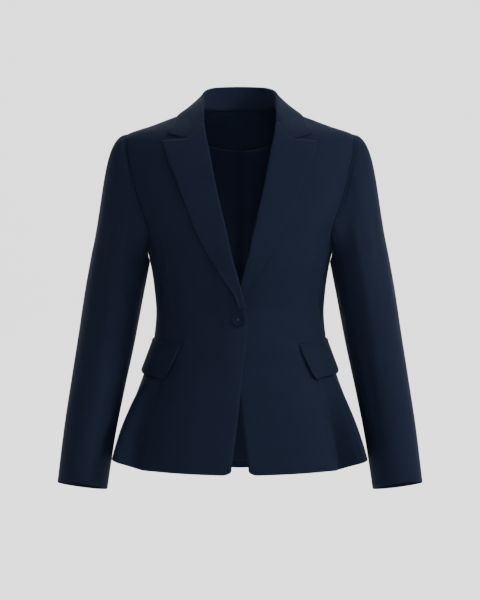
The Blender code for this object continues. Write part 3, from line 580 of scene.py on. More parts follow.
def with_borders(shares: Grid, width: float, nearest: tuple[float, ...]) -> Grid:
    """Column places with close ones added beside both borders.

    Args:
        shares: Places of the columns from 0 to 1.
        width: Rough width of the piece.
        nearest: Distances from the border of the added columns.

    Returns:
        All the places, in order and apart.
    """
    close = np.array(nearest) / width
    middle = shares[(shares > close[-1] * 1.25) & (shares < 1 - close[-1] * 1.25)]
    return np.concatenate([[0.0], close, middle, 1 - close[::-1], [1.0]])


def relief(
    creases: tuple[Crease, ...], angle: Grid, height: Grid, reach: float, tall: float
) -> Grid:
    """How far soft ridges and troughs move the cloth out.

    Args:
        creases: The ridges and troughs.
        angle: Angles of the points.
        height: Heights of the points, or their shares of the length.
        reach: Metres round the form for one degree.
        tall: Metres for one unit of height.

    Returns:
        The move of each point, outwards.
    """
    moved = np.zeros(np.broadcast(angle, height).shape)
    for crease in creases:
        start = np.array([crease.start_angle * reach, crease.start_height * tall])
        run = np.array([crease.end_angle * reach, crease.end_height * tall]) - start
        east = np.asarray(angle) * reach - start[0]
        north = np.asarray(height) * tall - start[1]
        length = math.hypot(*run)
        along = (east * run[0] + north * run[1]) / length**2
        aside = (north * run[0] - east * run[1]) / length
        aside = aside + CREASE_BOW * length * (along - 0.5) ** 2
        fade = np.clip(1 - (2 * along - 1) ** 2, 0, None) ** CREASE_FADE
        moved = moved + crease.depth * fade * np.exp(-((aside / crease.width) ** 2))
    return moved


def line_at(line: Grid, shares: Grid) -> Grid:
    """Points of a chart's line at shares of the way through its own points."""
    places = np.linspace(0, 1, len(line))
    return np.stack([np.interp(shares, places, line[:, axis]) for axis in (0, 1)], -1)


def placed(name: str, data: Any) -> bpy.types.Object:
    """A new object in the scene, at the origin and unturned."""
    made = bpy.data.objects.new(name, data)
    bpy.context.scene.collection.objects.link(made)
    return made


def joined_up(name: str, points: list) -> bpy.types.Mesh:
    """A mesh of points that are joined in a line."""
    made = bpy.data.meshes.new(name)
    made.from_pydata(points, [(k, k + 1) for k in range(len(points) - 1)], [])
    return made


def plain_mesh(shown: bpy.types.Object) -> bpy.types.Mesh:
    """The plain mesh of what an object shows, with its modifiers worked out."""
    seen = shown.evaluated_get(bpy.context.evaluated_depsgraph_get())
    return bpy.data.meshes.new_from_object(seen)


@dataclass(frozen=True)
class Form:
    """The jacket's outer form, which its cloth lies on."""

    sections: tuple[BodySection, ...] = BODY
    cleared_below: float = 0.002

    def section_at(self, height: Any) -> tuple[Grid, ...]:
        """Half width, front depth, back depth and power of a level section."""
        names = BodySection._fields[1:]
        return tuple(read_column(self.sections, "height", name, height) for name in names)

    def surface(self, angle: Any, height: Any) -> Grid:
        """Points of the form.

        Args:
            angle: Degrees from the centre front.
            height: Heights.

        Returns:
            The points, in a half's own coordinates.
        """
        angle, height = np.broadcast_arrays(np.asarray(angle, float), np.asarray(height, float))
        turn = np.radians(np.abs(angle))
        half_width, front, back, power = self.section_at(height)
        sine, cosine = np.abs(np.sin(turn)), np.cos(turn)
        across = half_width * sine ** (2 / power) * np.where((angle < 0) | (angle > 180), -1, 1)
        depth = np.where(cosine > 0, -front, back) * np.abs(cosine) ** (2 / power)
        return np.stack([across, depth, height], -1)

    def frame(self, angle: Any, height: Any) -> tuple[Grid, Grid, Grid]:
        """Points of the form, its direction round the body and its outward direction."""
        angle, height = np.broadcast_arrays(np.asarray(angle, float), np.asarray(height, float))
        ahead, behind = angle + TURN_STEP, angle - TURN_STEP
        round_body = self.surface(ahead, height) - self.surface(behind, height)
        over, below = height + HEIGHT_STEP, height - HEIGHT_STEP
        upward = self.surface(angle, over) - self.surface(angle, below)
        return self.surface(angle, height), unit(round_body), unit(np.cross(round_body, upward))

    def angle_at(self, across: Any, height: Any) -> Grid:
        """Angle on the front of points this far across at these heights."""
        half_width, _, _, power = self.section_at(height)
        share = np.clip(np.abs(across) / half_width, 0, 1)
        return np.degrees(np.arcsin(share ** (power / 2))) * np.sign(across)

    def clear(self, points: Grid, least: float) -> Grid:
        """Moves points out wherever they are nearer to the form than the least distance.

        Args:
            points: The points.
            least: Least distance from the form.

        Returns:
            The points, moved where they had to be.
        """
        height = np.minimum(points[..., 2], 0.0)
        half_width, front, back, power = self.section_at(height)
        depth = np.where(points[..., 1] < 0, front, back)
        aside = np.maximum(np.abs(points[..., 1]) / depth, 1e-6)
        ratio = (np.abs(points[..., 0]) / half_width) / aside
        angle = np.degrees(np.arctan(ratio ** (power / 2)))
        angle = np.where(points[..., 1] < 0, angle, 180 - angle)
        place, _, normal = self.frame(angle, height)
        distance = ((points - place) * normal).sum(-1)
        low = points[..., 2] < self.cleared_below
        push = np.where(low, np.maximum(least - distance, 0), 0)
        return points + normal * push[..., None]


@dataclass(frozen=True)
class Draft:
    """The jacket's cutting lines on the form, and the cloth's soft creases."""

    form: Form = Form()
    fine: int = 6
    skirt_rows: int = 20
    break_row: int = 13
    break_height: float = -0.3440
    front_steps: int = 9
    side_front_steps: int = 4
    side_back_steps: int = 4
    back_steps: int = 8
    pleat_top: float = -0.4500
    pleat_hem: float = -0.6050
    pleat_most: float = 1.05
    pleat_power: float = 0.80
    overlap_reach: float = 0.050
    overlap_ease: float = 0.032
    fold_foot: float = -0.00175
    fold_start: float = -0.0009
    fold_tuck: float = 0.0005
    fold_steps: int = 12
    gorge_steps: int = 8
    line_points: int = 400
    reach: float = 0.0026

    def hem(self, angle: Any) -> Grid:
        """Height of the hem at an angle round the body."""
        return read_column(HEM, "angle", "height", np.abs(angle))

    def hem_line(self, first: float, last: float, shares: Grid) -> Grid:
        """(angle, height) points along the hem from one angle to another."""
        angles = first + (last - first) * shares
        return np.stack([angles, self.hem(angles)], -1)

    def front_edge(self, height: Any) -> Grid:
        """How far across the front's edge or roll line is at a height."""
        return read_column(ROLL_LINE, "height", "across", height)

    def along_line(self, line: tuple[SeamPoint, ...], steps: int) -> Grid:
        """Evenly spaced (angle, height) points along a line on the form.

        Args:
            line: The line's points.
            steps: How many stretches it gets.

        Returns:
            The points, one more than the steps.
        """
        share = np.linspace(0, 1, len(line))
        close = np.linspace(0, 1, self.line_points)
        angles = smooth_through(share, [point.angle for point in line], close)
        heights = smooth_through(share, [point.height for point in line], close)
        points = self.form.surface(angles, heights)
        lengths = np.linalg.norm(np.diff(points, axis=0), axis=1)
        travelled = np.concatenate([[0], np.cumsum(lengths)]) / lengths.sum()
        wanted = np.linspace(0, 1, steps + 1)
        return np.stack(
            [np.interp(wanted, travelled, angles), np.interp(wanted, travelled, heights)], -1
        )

    def armhole(self) -> tuple[Grid, Grid, Grid, Grid]:
        """The armhole's four stretches, down the front from the shoulder and up the back."""
        return (
            self.along_line(ARMHOLE_FRONT[:8], self.front_steps * self.fine),
            self.along_line(ARMHOLE_FRONT[7:], self.side_front_steps * self.fine),
            self.along_line(ARMHOLE_BACK[:5], self.side_back_steps * self.fine),
            self.along_line(ARMHOLE_BACK[4:], self.back_steps * self.fine),
        )

    def seam_line(self, table: tuple[SeamPoint, ...], top_height: float) -> Grid:
        """(angle, height) points up a seam from the hem to the armhole."""
        rows = np.linspace(0, 1, self.skirt_rows * self.fine + 1)
        foot = self.hem(read_column(table, "height", "angle", self.pleat_hem))
        heights = foot + (top_height - foot) * rows
        return np.stack([read_column(table, "height", "angle", heights), heights], -1)

    def pleat_share(self, height: Grid) -> Grid:
        """How far the side pleat stands open at a height."""
        share = (self.pleat_top - height) / (self.pleat_top - self.pleat_hem)
        return np.clip(share, 0, self.pleat_most) ** self.pleat_power

    def overlap(self, side: Side, across: Grid, height: Grid) -> Grid:
        """Lift of the upper front where it lies over the under front."""
        if side is Side.LEFT:
            return np.zeros(np.broadcast(across, height).shape)
        rise = read_column(OVERLAP_LIFT, "height", "lift", height)
        near = np.clip((self.overlap_reach - across) / self.overlap_ease, 0, 1)
        return rise * near * near * (3 - 2 * near)

    def creased(self, side: Side, angle: Grid, height: Grid) -> Grid:
        """Move of the body's cloth by its soft creases, on the front and the back."""
        moved = relief(BODY_CREASES[side], angle, height, self.reach, 1.0)
        return moved + relief(BACK_CREASES, angle, height, self.reach, 1.0)

    def on_front(self, side: Side, across: Grid, height: Grid, out: Grid) -> Grid:
        """Points over a front this far across, at these heights and this far out."""
        angle = self.form.angle_at(across, height)
        place, _, normal = self.form.frame(angle, height)
        out = out + self.overlap(side, across, height) + self.creased(side, angle, height)
        return place + normal * out[..., None]

    def roll_frame(self, side: Side, heights: Grid) -> tuple[Grid, Grid, Grid]:
        """Points on a roll line, the direction over the cloth from it, and outward."""
        edge = self.front_edge(heights)
        flat = np.zeros_like(heights)
        line = self.on_front(side, edge, heights, flat)
        lower = heights - HEIGHT_STEP
        below = self.on_front(side, self.front_edge(lower), lower, flat)
        _, _, normal = self.form.frame(self.form.angle_at(edge, heights), heights)
        return line, unit(np.cross(line - below, normal)), normal

    def fold(self, line: Grid, across: Grid, normal: Grid, radius: Grid) -> Grid:
        """Rows of a rolled fold on a roll line, from under the cloth's edge to its top.

        Args:
            line: Points of the roll line.
            across: Directions over the cloth.
            normal: Outward directions.
            radius: Radius of the roll at each point.

        Returns:
            The fold's points, one row for each point of the line.
        """
        turns = np.linspace(-math.pi / 2, math.pi / 2, self.fold_steps + 1)
        along = self.fold_start - radius[:, None] * np.cos(turns)
        out = self.fold_foot + radius[:, None] * (1 + np.sin(turns))
        tuck = np.full((len(radius), 1), self.fold_start + self.fold_tuck)
        along = np.concatenate([tuck, along], 1)
        out = np.concatenate([np.full((len(radius), 1), self.fold_foot), out], 1)
        moved = along[..., None] * across[:, None] + out[..., None] * normal[:, None]
        return line[:, None] + moved


def outward_of(ring: Grid, beside: Grid, normal: Grid) -> Grid:
    """Directions out of a border, level with the cloth.

    Args:
        ring: Points of the border.
        beside: Points just inside it.
        normal: Outward directions of the cloth there.

    Returns:
        One direction for each point.
    """
    away = ring - beside
    return unit(away - (away * normal).sum(-1, keepdims=True) * normal)


@dataclass
class ClothPiece:
    """One cut piece of cloth as a thin wall with rounded borders."""

    node: str
    surface: Grid
    normals: Grid
    thickness: float
    side: Side = Side.LEFT
    held: Held = Held.HUNG
    rests_on: tuple[str, ...] = ()
    slot: str = "navy_wool"
    gap: float = 0.0002
    draw_sides: bool = True
    seam_sides: tuple[str, ...] = ()
    dip: float = 0.0007
    dip_width: float = 0.0022
    rolled_sides: tuple[str, ...] = ()
    roll: float = 0.0015
    roll_width: float = 0.0017
    rim_share: float = 0.45
    rim_most: float = 0.0007
    least_flat: float = 0.011
    outer: Grid = field(init=False)

    def __post_init__(self) -> None:
        """Draws the borders in, dips the cloth beside its seams and rolls its free edges."""
        sunk = np.zeros(self.surface.shape[:2])
        for border, distance in self.border_distances().items():
            if border in self.seam_sides:
                sunk = np.maximum(sunk, self.dip * np.exp(-((distance / self.dip_width) ** 2)))
            if border in self.rolled_sides:
                sunk = np.maximum(sunk, self.roll * np.exp(-((distance / self.roll_width) ** 2)))
        self.outer = self.drawn_in() - sunk[..., None] * self.normals

    @property
    def name(self) -> str:
        """The piece's own name, after the node that it replaces."""
        return f"cloth_{self.node}"

    def drawn_in(self) -> Grid:
        """The surface with its borders drawn in by half a seam gap."""
        drawn = self.surface.copy()
        for near, far in ((0, 1), (-1, -2)):
            rows = outward_of(self.surface[near], self.surface[far], self.normals[near])
            drawn[near] -= self.gap * rows
            if self.draw_sides:
                columns = outward_of(
                    self.surface[:, near], self.surface[:, far], self.normals[:, near]
                )
                drawn[:, near] -= self.gap * columns
        return drawn

    def border_distances(self) -> dict[str, Grid]:
        """Distance of every point from each of the four borders."""
        across = np.linalg.norm(np.diff(self.surface, axis=1), axis=-1)
        up = np.linalg.norm(np.diff(self.surface, axis=0), axis=-1)
        left = np.concatenate([np.zeros((len(across), 1)), np.cumsum(across, 1)], 1)
        bottom = np.concatenate([np.zeros((1, up.shape[1])), np.cumsum(up, 0)], 0)
        return {
            "left": left,
            "right": left[:, -1:] - left,
            "bottom": bottom,
            "top": bottom[-1:] - bottom,
        }

    def flat_size(self) -> tuple[float, float, float]:
        """Width, length and area of the piece when it is laid flat."""
        away = self.border_distances()
        a = self.surface[:-1, :-1]
        b = self.surface[:-1, 1:]
        c = self.surface[1:, 1:]
        d = self.surface[1:, :-1]
        area = np.linalg.norm(np.cross(c - a, d - b), axis=-1).sum() / 2
        width = float(away["left"].max()) + 2 * self.thickness
        length = float(away["bottom"].max()) + 2 * self.thickness
        width, length = max(width, self.least_flat), max(length, self.least_flat)
        area = area + (width + length) * self.thickness
        return width, length, float(min(area, width * length))

    def mesh(self) -> bpy.types.Mesh:
        """The closed wall, with a rounded rim and the cloth's own map in metres."""
        rows, columns = self.outer.shape[:2]
        inner = self.drawn_in() - self.thickness * self.normals
        index = np.arange(rows * columns).reshape(rows, columns)
        ring = np.concatenate([index[0, :-1], index[:-1, -1], index[-1, :0:-1], index[:0:-1, 0]])
        place = np.stack(np.divmod(ring, columns), -1)
        inside = np.clip(place, 1, [rows - 2, columns - 2])
        rim = self.outer[place[:, 0], place[:, 1]]
        under = inner[place[:, 0], place[:, 1]]
        normal = self.normals[place[:, 0], place[:, 1]]
        away = outward_of(rim, self.outer[inside[:, 0], inside[:, 1]], normal)
        middle = (rim + under) / 2 + away * min(self.rim_share * self.thickness, self.rim_most)
        count = rows * columns
        points = np.concatenate([self.outer.reshape(-1, 3), inner.reshape(-1, 3), middle])
        points = points * [self.side.value, 1, 1]
        after = np.roll(ring, -1)
        edge = 2 * count + np.arange(len(ring))
        quads = np.concatenate(
            [
                np.stack([index[:-1, :-1], index[:-1, 1:], index[1:, 1:], index[1:, :-1]], -1)
                .reshape(-1, 4),
                np.stack([index[:-1, :-1], index[1:, :-1], index[1:, 1:], index[:-1, 1:]], -1)
                .reshape(-1, 4)
                + count,
                np.stack([after, ring, edge, np.roll(edge, -1)], -1),
                np.stack([np.roll(edge, -1), edge, ring + count, after + count], -1),
            ]
        )
        if self.side is Side.RIGHT:
            quads = quads[:, ::-1]
        made = bpy.data.meshes.new(self.name)
        made.from_pydata(points.tolist(), [], quads.tolist())
        away_from = self.border_distances()
        flat = np.stack([away_from["left"], away_from["bottom"]], -1).reshape(-1, 2)
        flat = np.concatenate([flat, flat, flat[ring]])
        corners = np.empty(len(made.loops), np.int32)
        made.loops.foreach_get("vertex_index", corners)
        made.uv_layers.new(name="cloth").uv.foreach_set("vector", flat[corners].ravel())
        made.shade_smooth()
        return made

    def build(self, finish: bpy.types.Material) -> bpy.types.Object:
        """Args:
            finish: The cloth's material.

        Returns:
            The finished object.
        """
        made = placed(self.name, self.mesh())
        made.data.materials.append(finish)
        width, length, area = self.flat_size()
        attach(made, "root")
        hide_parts(self.node)
        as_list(self.rests_on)
        LOG.info("%s: %.3f by %.3f m, %.4f m2", self.name, width, length, area)
        return made


@dataclass
class Panels:
    """The front, side and back panels of one half."""

    draft: Draft
    side: Side
    cloth: float = 0.0015
    front_cloth: float = 0.0022
    nearest: tuple[float, ...] = (0.0008, 0.0017, 0.0028, 0.0045)
    front_columns: int = 66
    front_width: float = 0.19
    corner_rise: float = 0.0050
    corner_width: float = 0.012
    corner_height: float = 0.05
    flute_columns: int = 90
    side_back_columns: int = 36
    side_width: float = 0.10
    back_columns: int = 55
    back_width: float = 0.16
    back_break: float = -0.165
    shoulder_points: int = 6
    neck_points: int = 5

    def front_chart(self) -> tuple[Grid, Grid]:
        """(angle, height) grid of a front panel, and the places of its columns."""
        draft = self.draft
        upper = draft.armhole()[0]
        seam = draft.seam_line(FRONT_PRINCESS[self.side], upper[-1, 1])
        right = np.concatenate([seam, upper[::-1][1:]])
        foot = draft.hem(0)
        step = (draft.break_height - foot) / (draft.break_row * draft.fine)
        lower = foot + step * np.arange(draft.skirt_rows * draft.fine + 1)
        over = np.linspace(lower[-1], 0.0, draft.front_steps * draft.fine + 1)[1:]
        heights = np.concatenate([lower, over])
        left = np.stack([draft.form.angle_at(draft.front_edge(heights), heights), heights], -1)
        shares = with_borders(np.linspace(0, 1, self.front_columns), self.front_width, self.nearest)
        bottom = draft.hem_line(left[0, 0], right[0, 0], shares)
        corner = np.clip(1 - shares * self.front_width / self.corner_width, 0, 1)
        bottom[:, 1] += self.corner_rise * corner**2
        curve = np.clip(1 - (heights - foot) / self.corner_height, 0, 1)
        left[:, 1] += self.corner_rise * curve**2
        left[:, 0] = draft.form.angle_at(draft.front_edge(left[:, 1]), left[:, 1])
        left[-1] = (90.0, 0.0)
        left[0] = bottom[0]
        top = left[-1] + (right[-1] - left[-1]) * shares[:, None]
        return patch(bottom, right, top, left, shares), shares

    def front(self, finish: bpy.types.Material) -> bpy.types.Object:
        """The front, from its edge and roll line to the princess seam, armhole and shoulder."""
        chart, shares = self.front_chart()
        angle, height = chart[..., 0], chart[..., 1]
        place, _, normal = self.draft.form.frame(angle, height)
        out = self.draft.overlap(self.side, place[..., 0], height)
        out = out + self.draft.creased(self.side, angle, height)
        points = place + normal * out[..., None]
        opened = self.draft.pleat_share(height[:, -1])[:, None]
        turned = read_column(FRONT_TURN, "share", "out", shares)
        points = points + (opened * turned)[..., None] * normal[:, -1:]
        return ClothPiece(
            f"front_{self.side.word}",
            points,
            grid_normals(points),
            self.front_cloth,
            self.side,
            seam_sides=("right", "top"),
            rolled_sides=("left",),
        ).build(finish)

    def side_front(self, finish: bpy.types.Material) -> bpy.types.Object:
        """The panel between the princess seam and the side seam, with its flute."""
        draft = self.draft
        upper, lower, _, _ = draft.armhole()
        left = draft.seam_line(FRONT_PRINCESS[self.side], upper[-1, 1])
        right = draft.seam_line(SIDE_SEAM, lower[-1, 1])
        even = with_borders(np.linspace(0, 1, self.flute_columns), self.side_width, self.nearest)
        bottom = draft.hem_line(left[0, 0], right[0, 0], even)
        chart = patch(bottom, right, line_at(lower, even), left, even)
        opened = draft.pleat_share(chart[..., 1])
        shares, along, out = (
            read_column(FLUTE[self.side], "share", name, even)
            for name in ("angle_share", "along", "out")
        )
        gathered = chart.copy()
        gathered[..., 0] = chart[:, :1, 0] + (chart[:, -1:, 0] - chart[:, :1, 0]) * shares
        chart = chart + opened[..., None] * (gathered - chart)
        place, round_body, normal = draft.form.frame(chart[..., 0], chart[..., 1])
        creased = draft.creased(self.side, chart[..., 0], chart[..., 1])
        fluted = place + opened[..., None] * (
            along[None, :, None] * round_body[:, :1] + out[None, :, None] * normal
        )
        points = fluted + creased[..., None] * normal
        return ClothPiece(
            f"side_front_{self.side.word}",
            points,
            grid_normals(points),
            self.cloth,
            self.side,
            seam_sides=("left", "right", "top"),
        ).build(finish)

    def plain(self, label: str, chart: Grid, finish: bpy.types.Material) -> bpy.types.Object:
        """A panel that lies on the form, apart from its creases.

        Args:
            label: The panel's name without its side.
            chart: Its (angle, height) grid.
            finish: Its cloth.

        Returns:
            The finished panel.
        """
        place, _, normal = self.draft.form.frame(chart[..., 0], chart[..., 1])
        out = self.draft.creased(self.side, chart[..., 0], chart[..., 1])
        points = place + normal * out[..., None]
        return ClothPiece(
            f"{label}_{self.side.word}",
            points,
            normal,
            self.cloth,
            self.side,
            seam_sides=("left", "right", "top"),
        ).build(finish)

    def side_back_chart(self) -> Grid:
        """(angle, height) grid between the side seam and the back princess seam."""
        draft = self.draft
        _, lower, rise, _ = draft.armhole()
        left = draft.seam_line(SIDE_SEAM, lower[-1, 1])
        right = draft.seam_line(BACK_PRINCESS, rise[-1, 1])
        even = np.linspace(0, 1, self.side_back_columns)
        shares = with_borders(even, self.side_width, self.nearest)
        bottom = draft.hem_line(left[0, 0], right[0, 0], shares)
        return patch(bottom, right, line_at(rise, shares), left, shares)

    def back_chart(self) -> Grid:
        """(angle, height) grid from the back princess seam and armhole to the centre back."""
        draft = self.draft
        _, _, rise, back = draft.armhole()
        left = np.concatenate([draft.seam_line(BACK_PRINCESS, rise[-1, 1]), back[1:]])
        lower = np.linspace(draft.hem(180), self.back_break, draft.skirt_rows * draft.fine + 1)
        over = np.linspace(self.back_break, 0.0, draft.back_steps * draft.fine + 1)[1:]
        heights = np.concatenate([lower, over])
        right = np.stack([np.full(len(heights), 180.0), heights], -1)
        levels = np.linspace(ARMHOLE_FRONT[0].height, 0.0, self.shoulder_points)
        shoulder = np.stack([np.full(self.shoulder_points, 90.0), levels], -1)
        turns = np.linspace(90, 180, self.neck_points)
        neck = np.stack([turns, np.zeros(self.neck_points)], -1)
        border = np.concatenate([shoulder, neck[1:]])
        shares = with_borders(np.linspace(0, 1, self.back_columns), self.back_width, self.nearest)
        bottom = draft.hem_line(left[0, 0], right[0, 0], shares)
        return patch(bottom, right, line_at(border, shares), left, shares)

    def build(self, finish: bpy.types.Material) -> list[bpy.types.Object]:
        """Makes the half's four panels."""
        return [
            self.front(finish),
            self.side_front(finish),
            self.plain("side_back", self.side_back_chart(), finish),
            self.plain("back", self.back_chart(), finish),
        ]


@dataclass
class Lapel:
    """A peak lapel, rolled at its fold and lying over its front."""

    draft: Draft
    side: Side
    cloth: float = 0.0016
    rows: int = 96
    lie: float = 0.0026
    fold_radius: float = 0.0030
    pressed_radius: float = 0.0020
    pressed_top: float = -0.2650
    pressed_bottom: float = -0.3000
    under_end: float = -0.3300
    edge_roll: float = 0.0007
    least_width: float = 0.0035
    edge_lift: dict[Side, float] = field(
        default_factory=lambda: {Side.LEFT: 0.0012, Side.RIGHT: 0.0030}
    )

    def build(self, finish: bpy.types.Material) -> bpy.types.Object:
        """Makes the lapel."""
        draft = self.draft
        rows = np.linspace(0, 1, self.rows + 1)
        foot = self.under_end if self.side is Side.LEFT else draft.break_height
        roll_heights = foot + (GORGE[0].height - foot) * rows
        edge_heights = foot + (PEAK_TOP[-1].height - foot) * rows
        border = np.array([(row.across, row.height) for row in GORGE + PEAK_TOP])
        lengths = np.concatenate([[0], np.cumsum(np.linalg.norm(np.diff(border, axis=0), axis=1))])
        coarse = lengths / lengths[-1]
        shares = refined(coarse, draft.gorge_steps)
        top = refined(border, draft.gorge_steps)
        offset = top[0, 0] - draft.front_edge(top[0, 1])
        left = np.stack([draft.front_edge(roll_heights) + offset, roll_heights], -1)
        edge_across = read_column(LAPEL_EDGE, "height", "across", edge_heights)
        edge_across = np.maximum(edge_across, left[:, 0] + self.least_width)
        right = np.stack([edge_across, edge_heights], -1)
        bottom = left[0] + (right[0] - left[0]) * shares[:, None]
        chart = patch(bottom, right, top, left, shares)
        pressed = np.zeros_like(roll_heights)
        if self.side is Side.LEFT:
            reach = self.pressed_top - self.pressed_bottom
            pressed = np.clip((self.pressed_top - roll_heights) / reach, 0, 1)
        radius = self.fold_radius + (self.pressed_radius - self.fold_radius) * pressed
        lies = GORGE_LIE + (self.lie,) * len(PEAK_TOP)
        full_lie = np.interp(shares, coarse, lies)
        flat_lie = draft.fold_foot + 2 * self.pressed_radius
        lie = full_lie + (flat_lie - full_lie) * pressed[:, None]
        lift = self.edge_roll * np.sin(math.pi * shares) + self.edge_lift[self.side] * shares**2
        lie = lie + lift[None] * (1 - pressed[:, None])
        flat = draft.on_front(self.side, chart[..., 0], chart[..., 1], lie)
        line, across, normal = draft.roll_frame(self.side, roll_heights)
        surface = np.concatenate([draft.fold(line, across, normal, radius), flat], axis=1)
        name = self.side.word
        return ClothPiece(
            f"lapel_{name}",
            surface,
            grid_normals(surface),
            self.cloth,
            self.side,
            Held.FOLDED,
            (f"cloth_front_{name}",),
            gap=0.0001,
            draw_sides=False,
            rolled_sides=("right", "top"),
            roll=0.0007,
            roll_width=0.0015,
        ).build(finish)


@dataclass
class Collar:
    """The collar's stand and fall in one folded piece, from notch to notch."""

    draft: Draft
    cloth: float = 0.0016
    stations: int = 66
    lie: float = 0.0026
    radius: float = 0.0030
    stand_base_front: float = 0.45
    stand_foot: float = -0.0041
    stand_drop: float = 0.0035
    stand_rows: int = 6
    lying_share: float = 0.35
    settled_share: float = 0.25
    held_share: float = 0.30
    held_power: float = 1.3

    def base(self, share: Grid) -> tuple[Grid, Grid]:
        """Points of the collar's seam and its outward directions."""
        form = self.draft.form
        front = share <= self.stand_base_front
        heights = np.where(front, GORGE[0].height * (1 - share / self.stand_base_front), 0.0)
        edge = self.draft.front_edge(heights)
        round_neck = 90 + 90 * (share - self.stand_base_front) / (1 - self.stand_base_front)
        angles = np.where(front, form.angle_at(edge, heights), round_neck)
        place, _, normal = form.frame(angles, heights)
        return place, normal

    def half(self) -> Grid:
        """Half of the visible surface, from the gorge to the centre back."""
        draft = self.draft
        share = np.linspace(0, 1, self.stations + 1)
        base, normal = self.base(share)
        last = COLLAR[-2]
        beyond = CollarStation(
            2 - last.share,
            -last.fold_x,
            last.fold_y,
            last.fold_z,
            360 - last.edge_angle,
            last.edge_height,
        )
        stations = COLLAR + (beyond,)
        names = ("fold_x", "fold_y", "fold_z")
        crest = np.stack([read_column(stations, "share", name, share) for name in names], -1)
        outward = unit(crest * [1, 1, 0])
        lying = np.clip(1 - share / self.lying_share, 0, 1)[:, None]
        line, across, line_normal = draft.roll_frame(Side.LEFT, np.array([GORGE[0].height]))
        gorge_fold = draft.fold(line, across, line_normal, np.array([self.radius]))[0]
        crest = crest + (gorge_fold[1 + draft.fold_steps // 2] - crest[0]) * lying
        over = unit(lying * normal + (1 - lying) * outward)
        settle = np.clip((share - self.settled_share) / self.settled_share, 0, 1)
        foot = draft.fold_foot + (self.stand_foot - draft.fold_foot) * settle
        seam = base + foot[:, None] * over
        up = crest - seam
        up = unit(up - (up * over).sum(-1, keepdims=True) * over)
        seam = seam - self.stand_drop * settle[:, None] * up
        turns = np.linspace(math.pi, 0, draft.fold_steps + 1)[:, None]
        centre = (crest - self.radius * up)[:, None]
        arc = np.cos(turns) * over[:, None] + np.sin(turns) * up[:, None]
        arc = centre + self.radius * arc
        edge_angle = read_column(stations, "share", "edge_angle", share)
        edge_height = read_column(stations, "share", "edge_height", share)
        edge_place, _, edge_normal = draft.form.frame(edge_angle, edge_height)
        edge = edge_place + self.lie * edge_normal
        gorge = [(row.across, row.height) for row in GORGE + NOTCH_TOP]
        gorge = refined(gorge, draft.gorge_steps)
        lie = refined(GORGE_LIE + (self.lie,) * len(NOTCH_TOP), draft.gorge_steps)
        along_gorge = draft.on_front(Side.LEFT, gorge[:, 0], gorge[:, 1], lie)
        steps = np.diff(along_gorge, axis=0, prepend=gorge_fold[-1:])
        lengths = np.cumsum(np.linalg.norm(steps, axis=1))
        steps = (lengths / lengths[-1])[:, None]
        fall = arc[:, -1:] + (edge - arc[:, -1])[:, None] * steps
        hold = np.clip(1 - share / self.held_share, 0, 1)[:, None, None] ** self.held_power
        fall = draft.form.clear(fall + (along_gorge - fall[0])[None] * hold, self.lie)
        stand_steps = np.linspace(0, 1, self.stand_rows + 1)[:-1, None]
        stand = seam[:, None] + (arc[:, :1] - seam[:, None]) * stand_steps
        surface = np.concatenate([stand, arc, fall], axis=1)
        first_stand = gorge_fold[0] + (gorge_fold[1] - gorge_fold[0]) * stand_steps
        surface[0] = np.concatenate([first_stand, gorge_fold[1:], along_gorge])
        return surface

    def build(self, finish: bpy.types.Material) -> bpy.types.Object:
        """Makes the whole collar."""
        half = self.half()
        surface = np.concatenate([half, (half[::-1] * [-1, 1, 1])[1:]])
        return ClothPiece(
            "collar",
            surface,
            grid_normals(surface),
            self.cloth,
            Side.LEFT,
            Held.FOLDED,
            ("cloth_back_left", "cloth_back_right"),
            gap=0.0001,
            draw_sides=False,
            rolled_sides=("right",),
            roll=0.0008,
            roll_width=0.0016,
        ).build(finish)


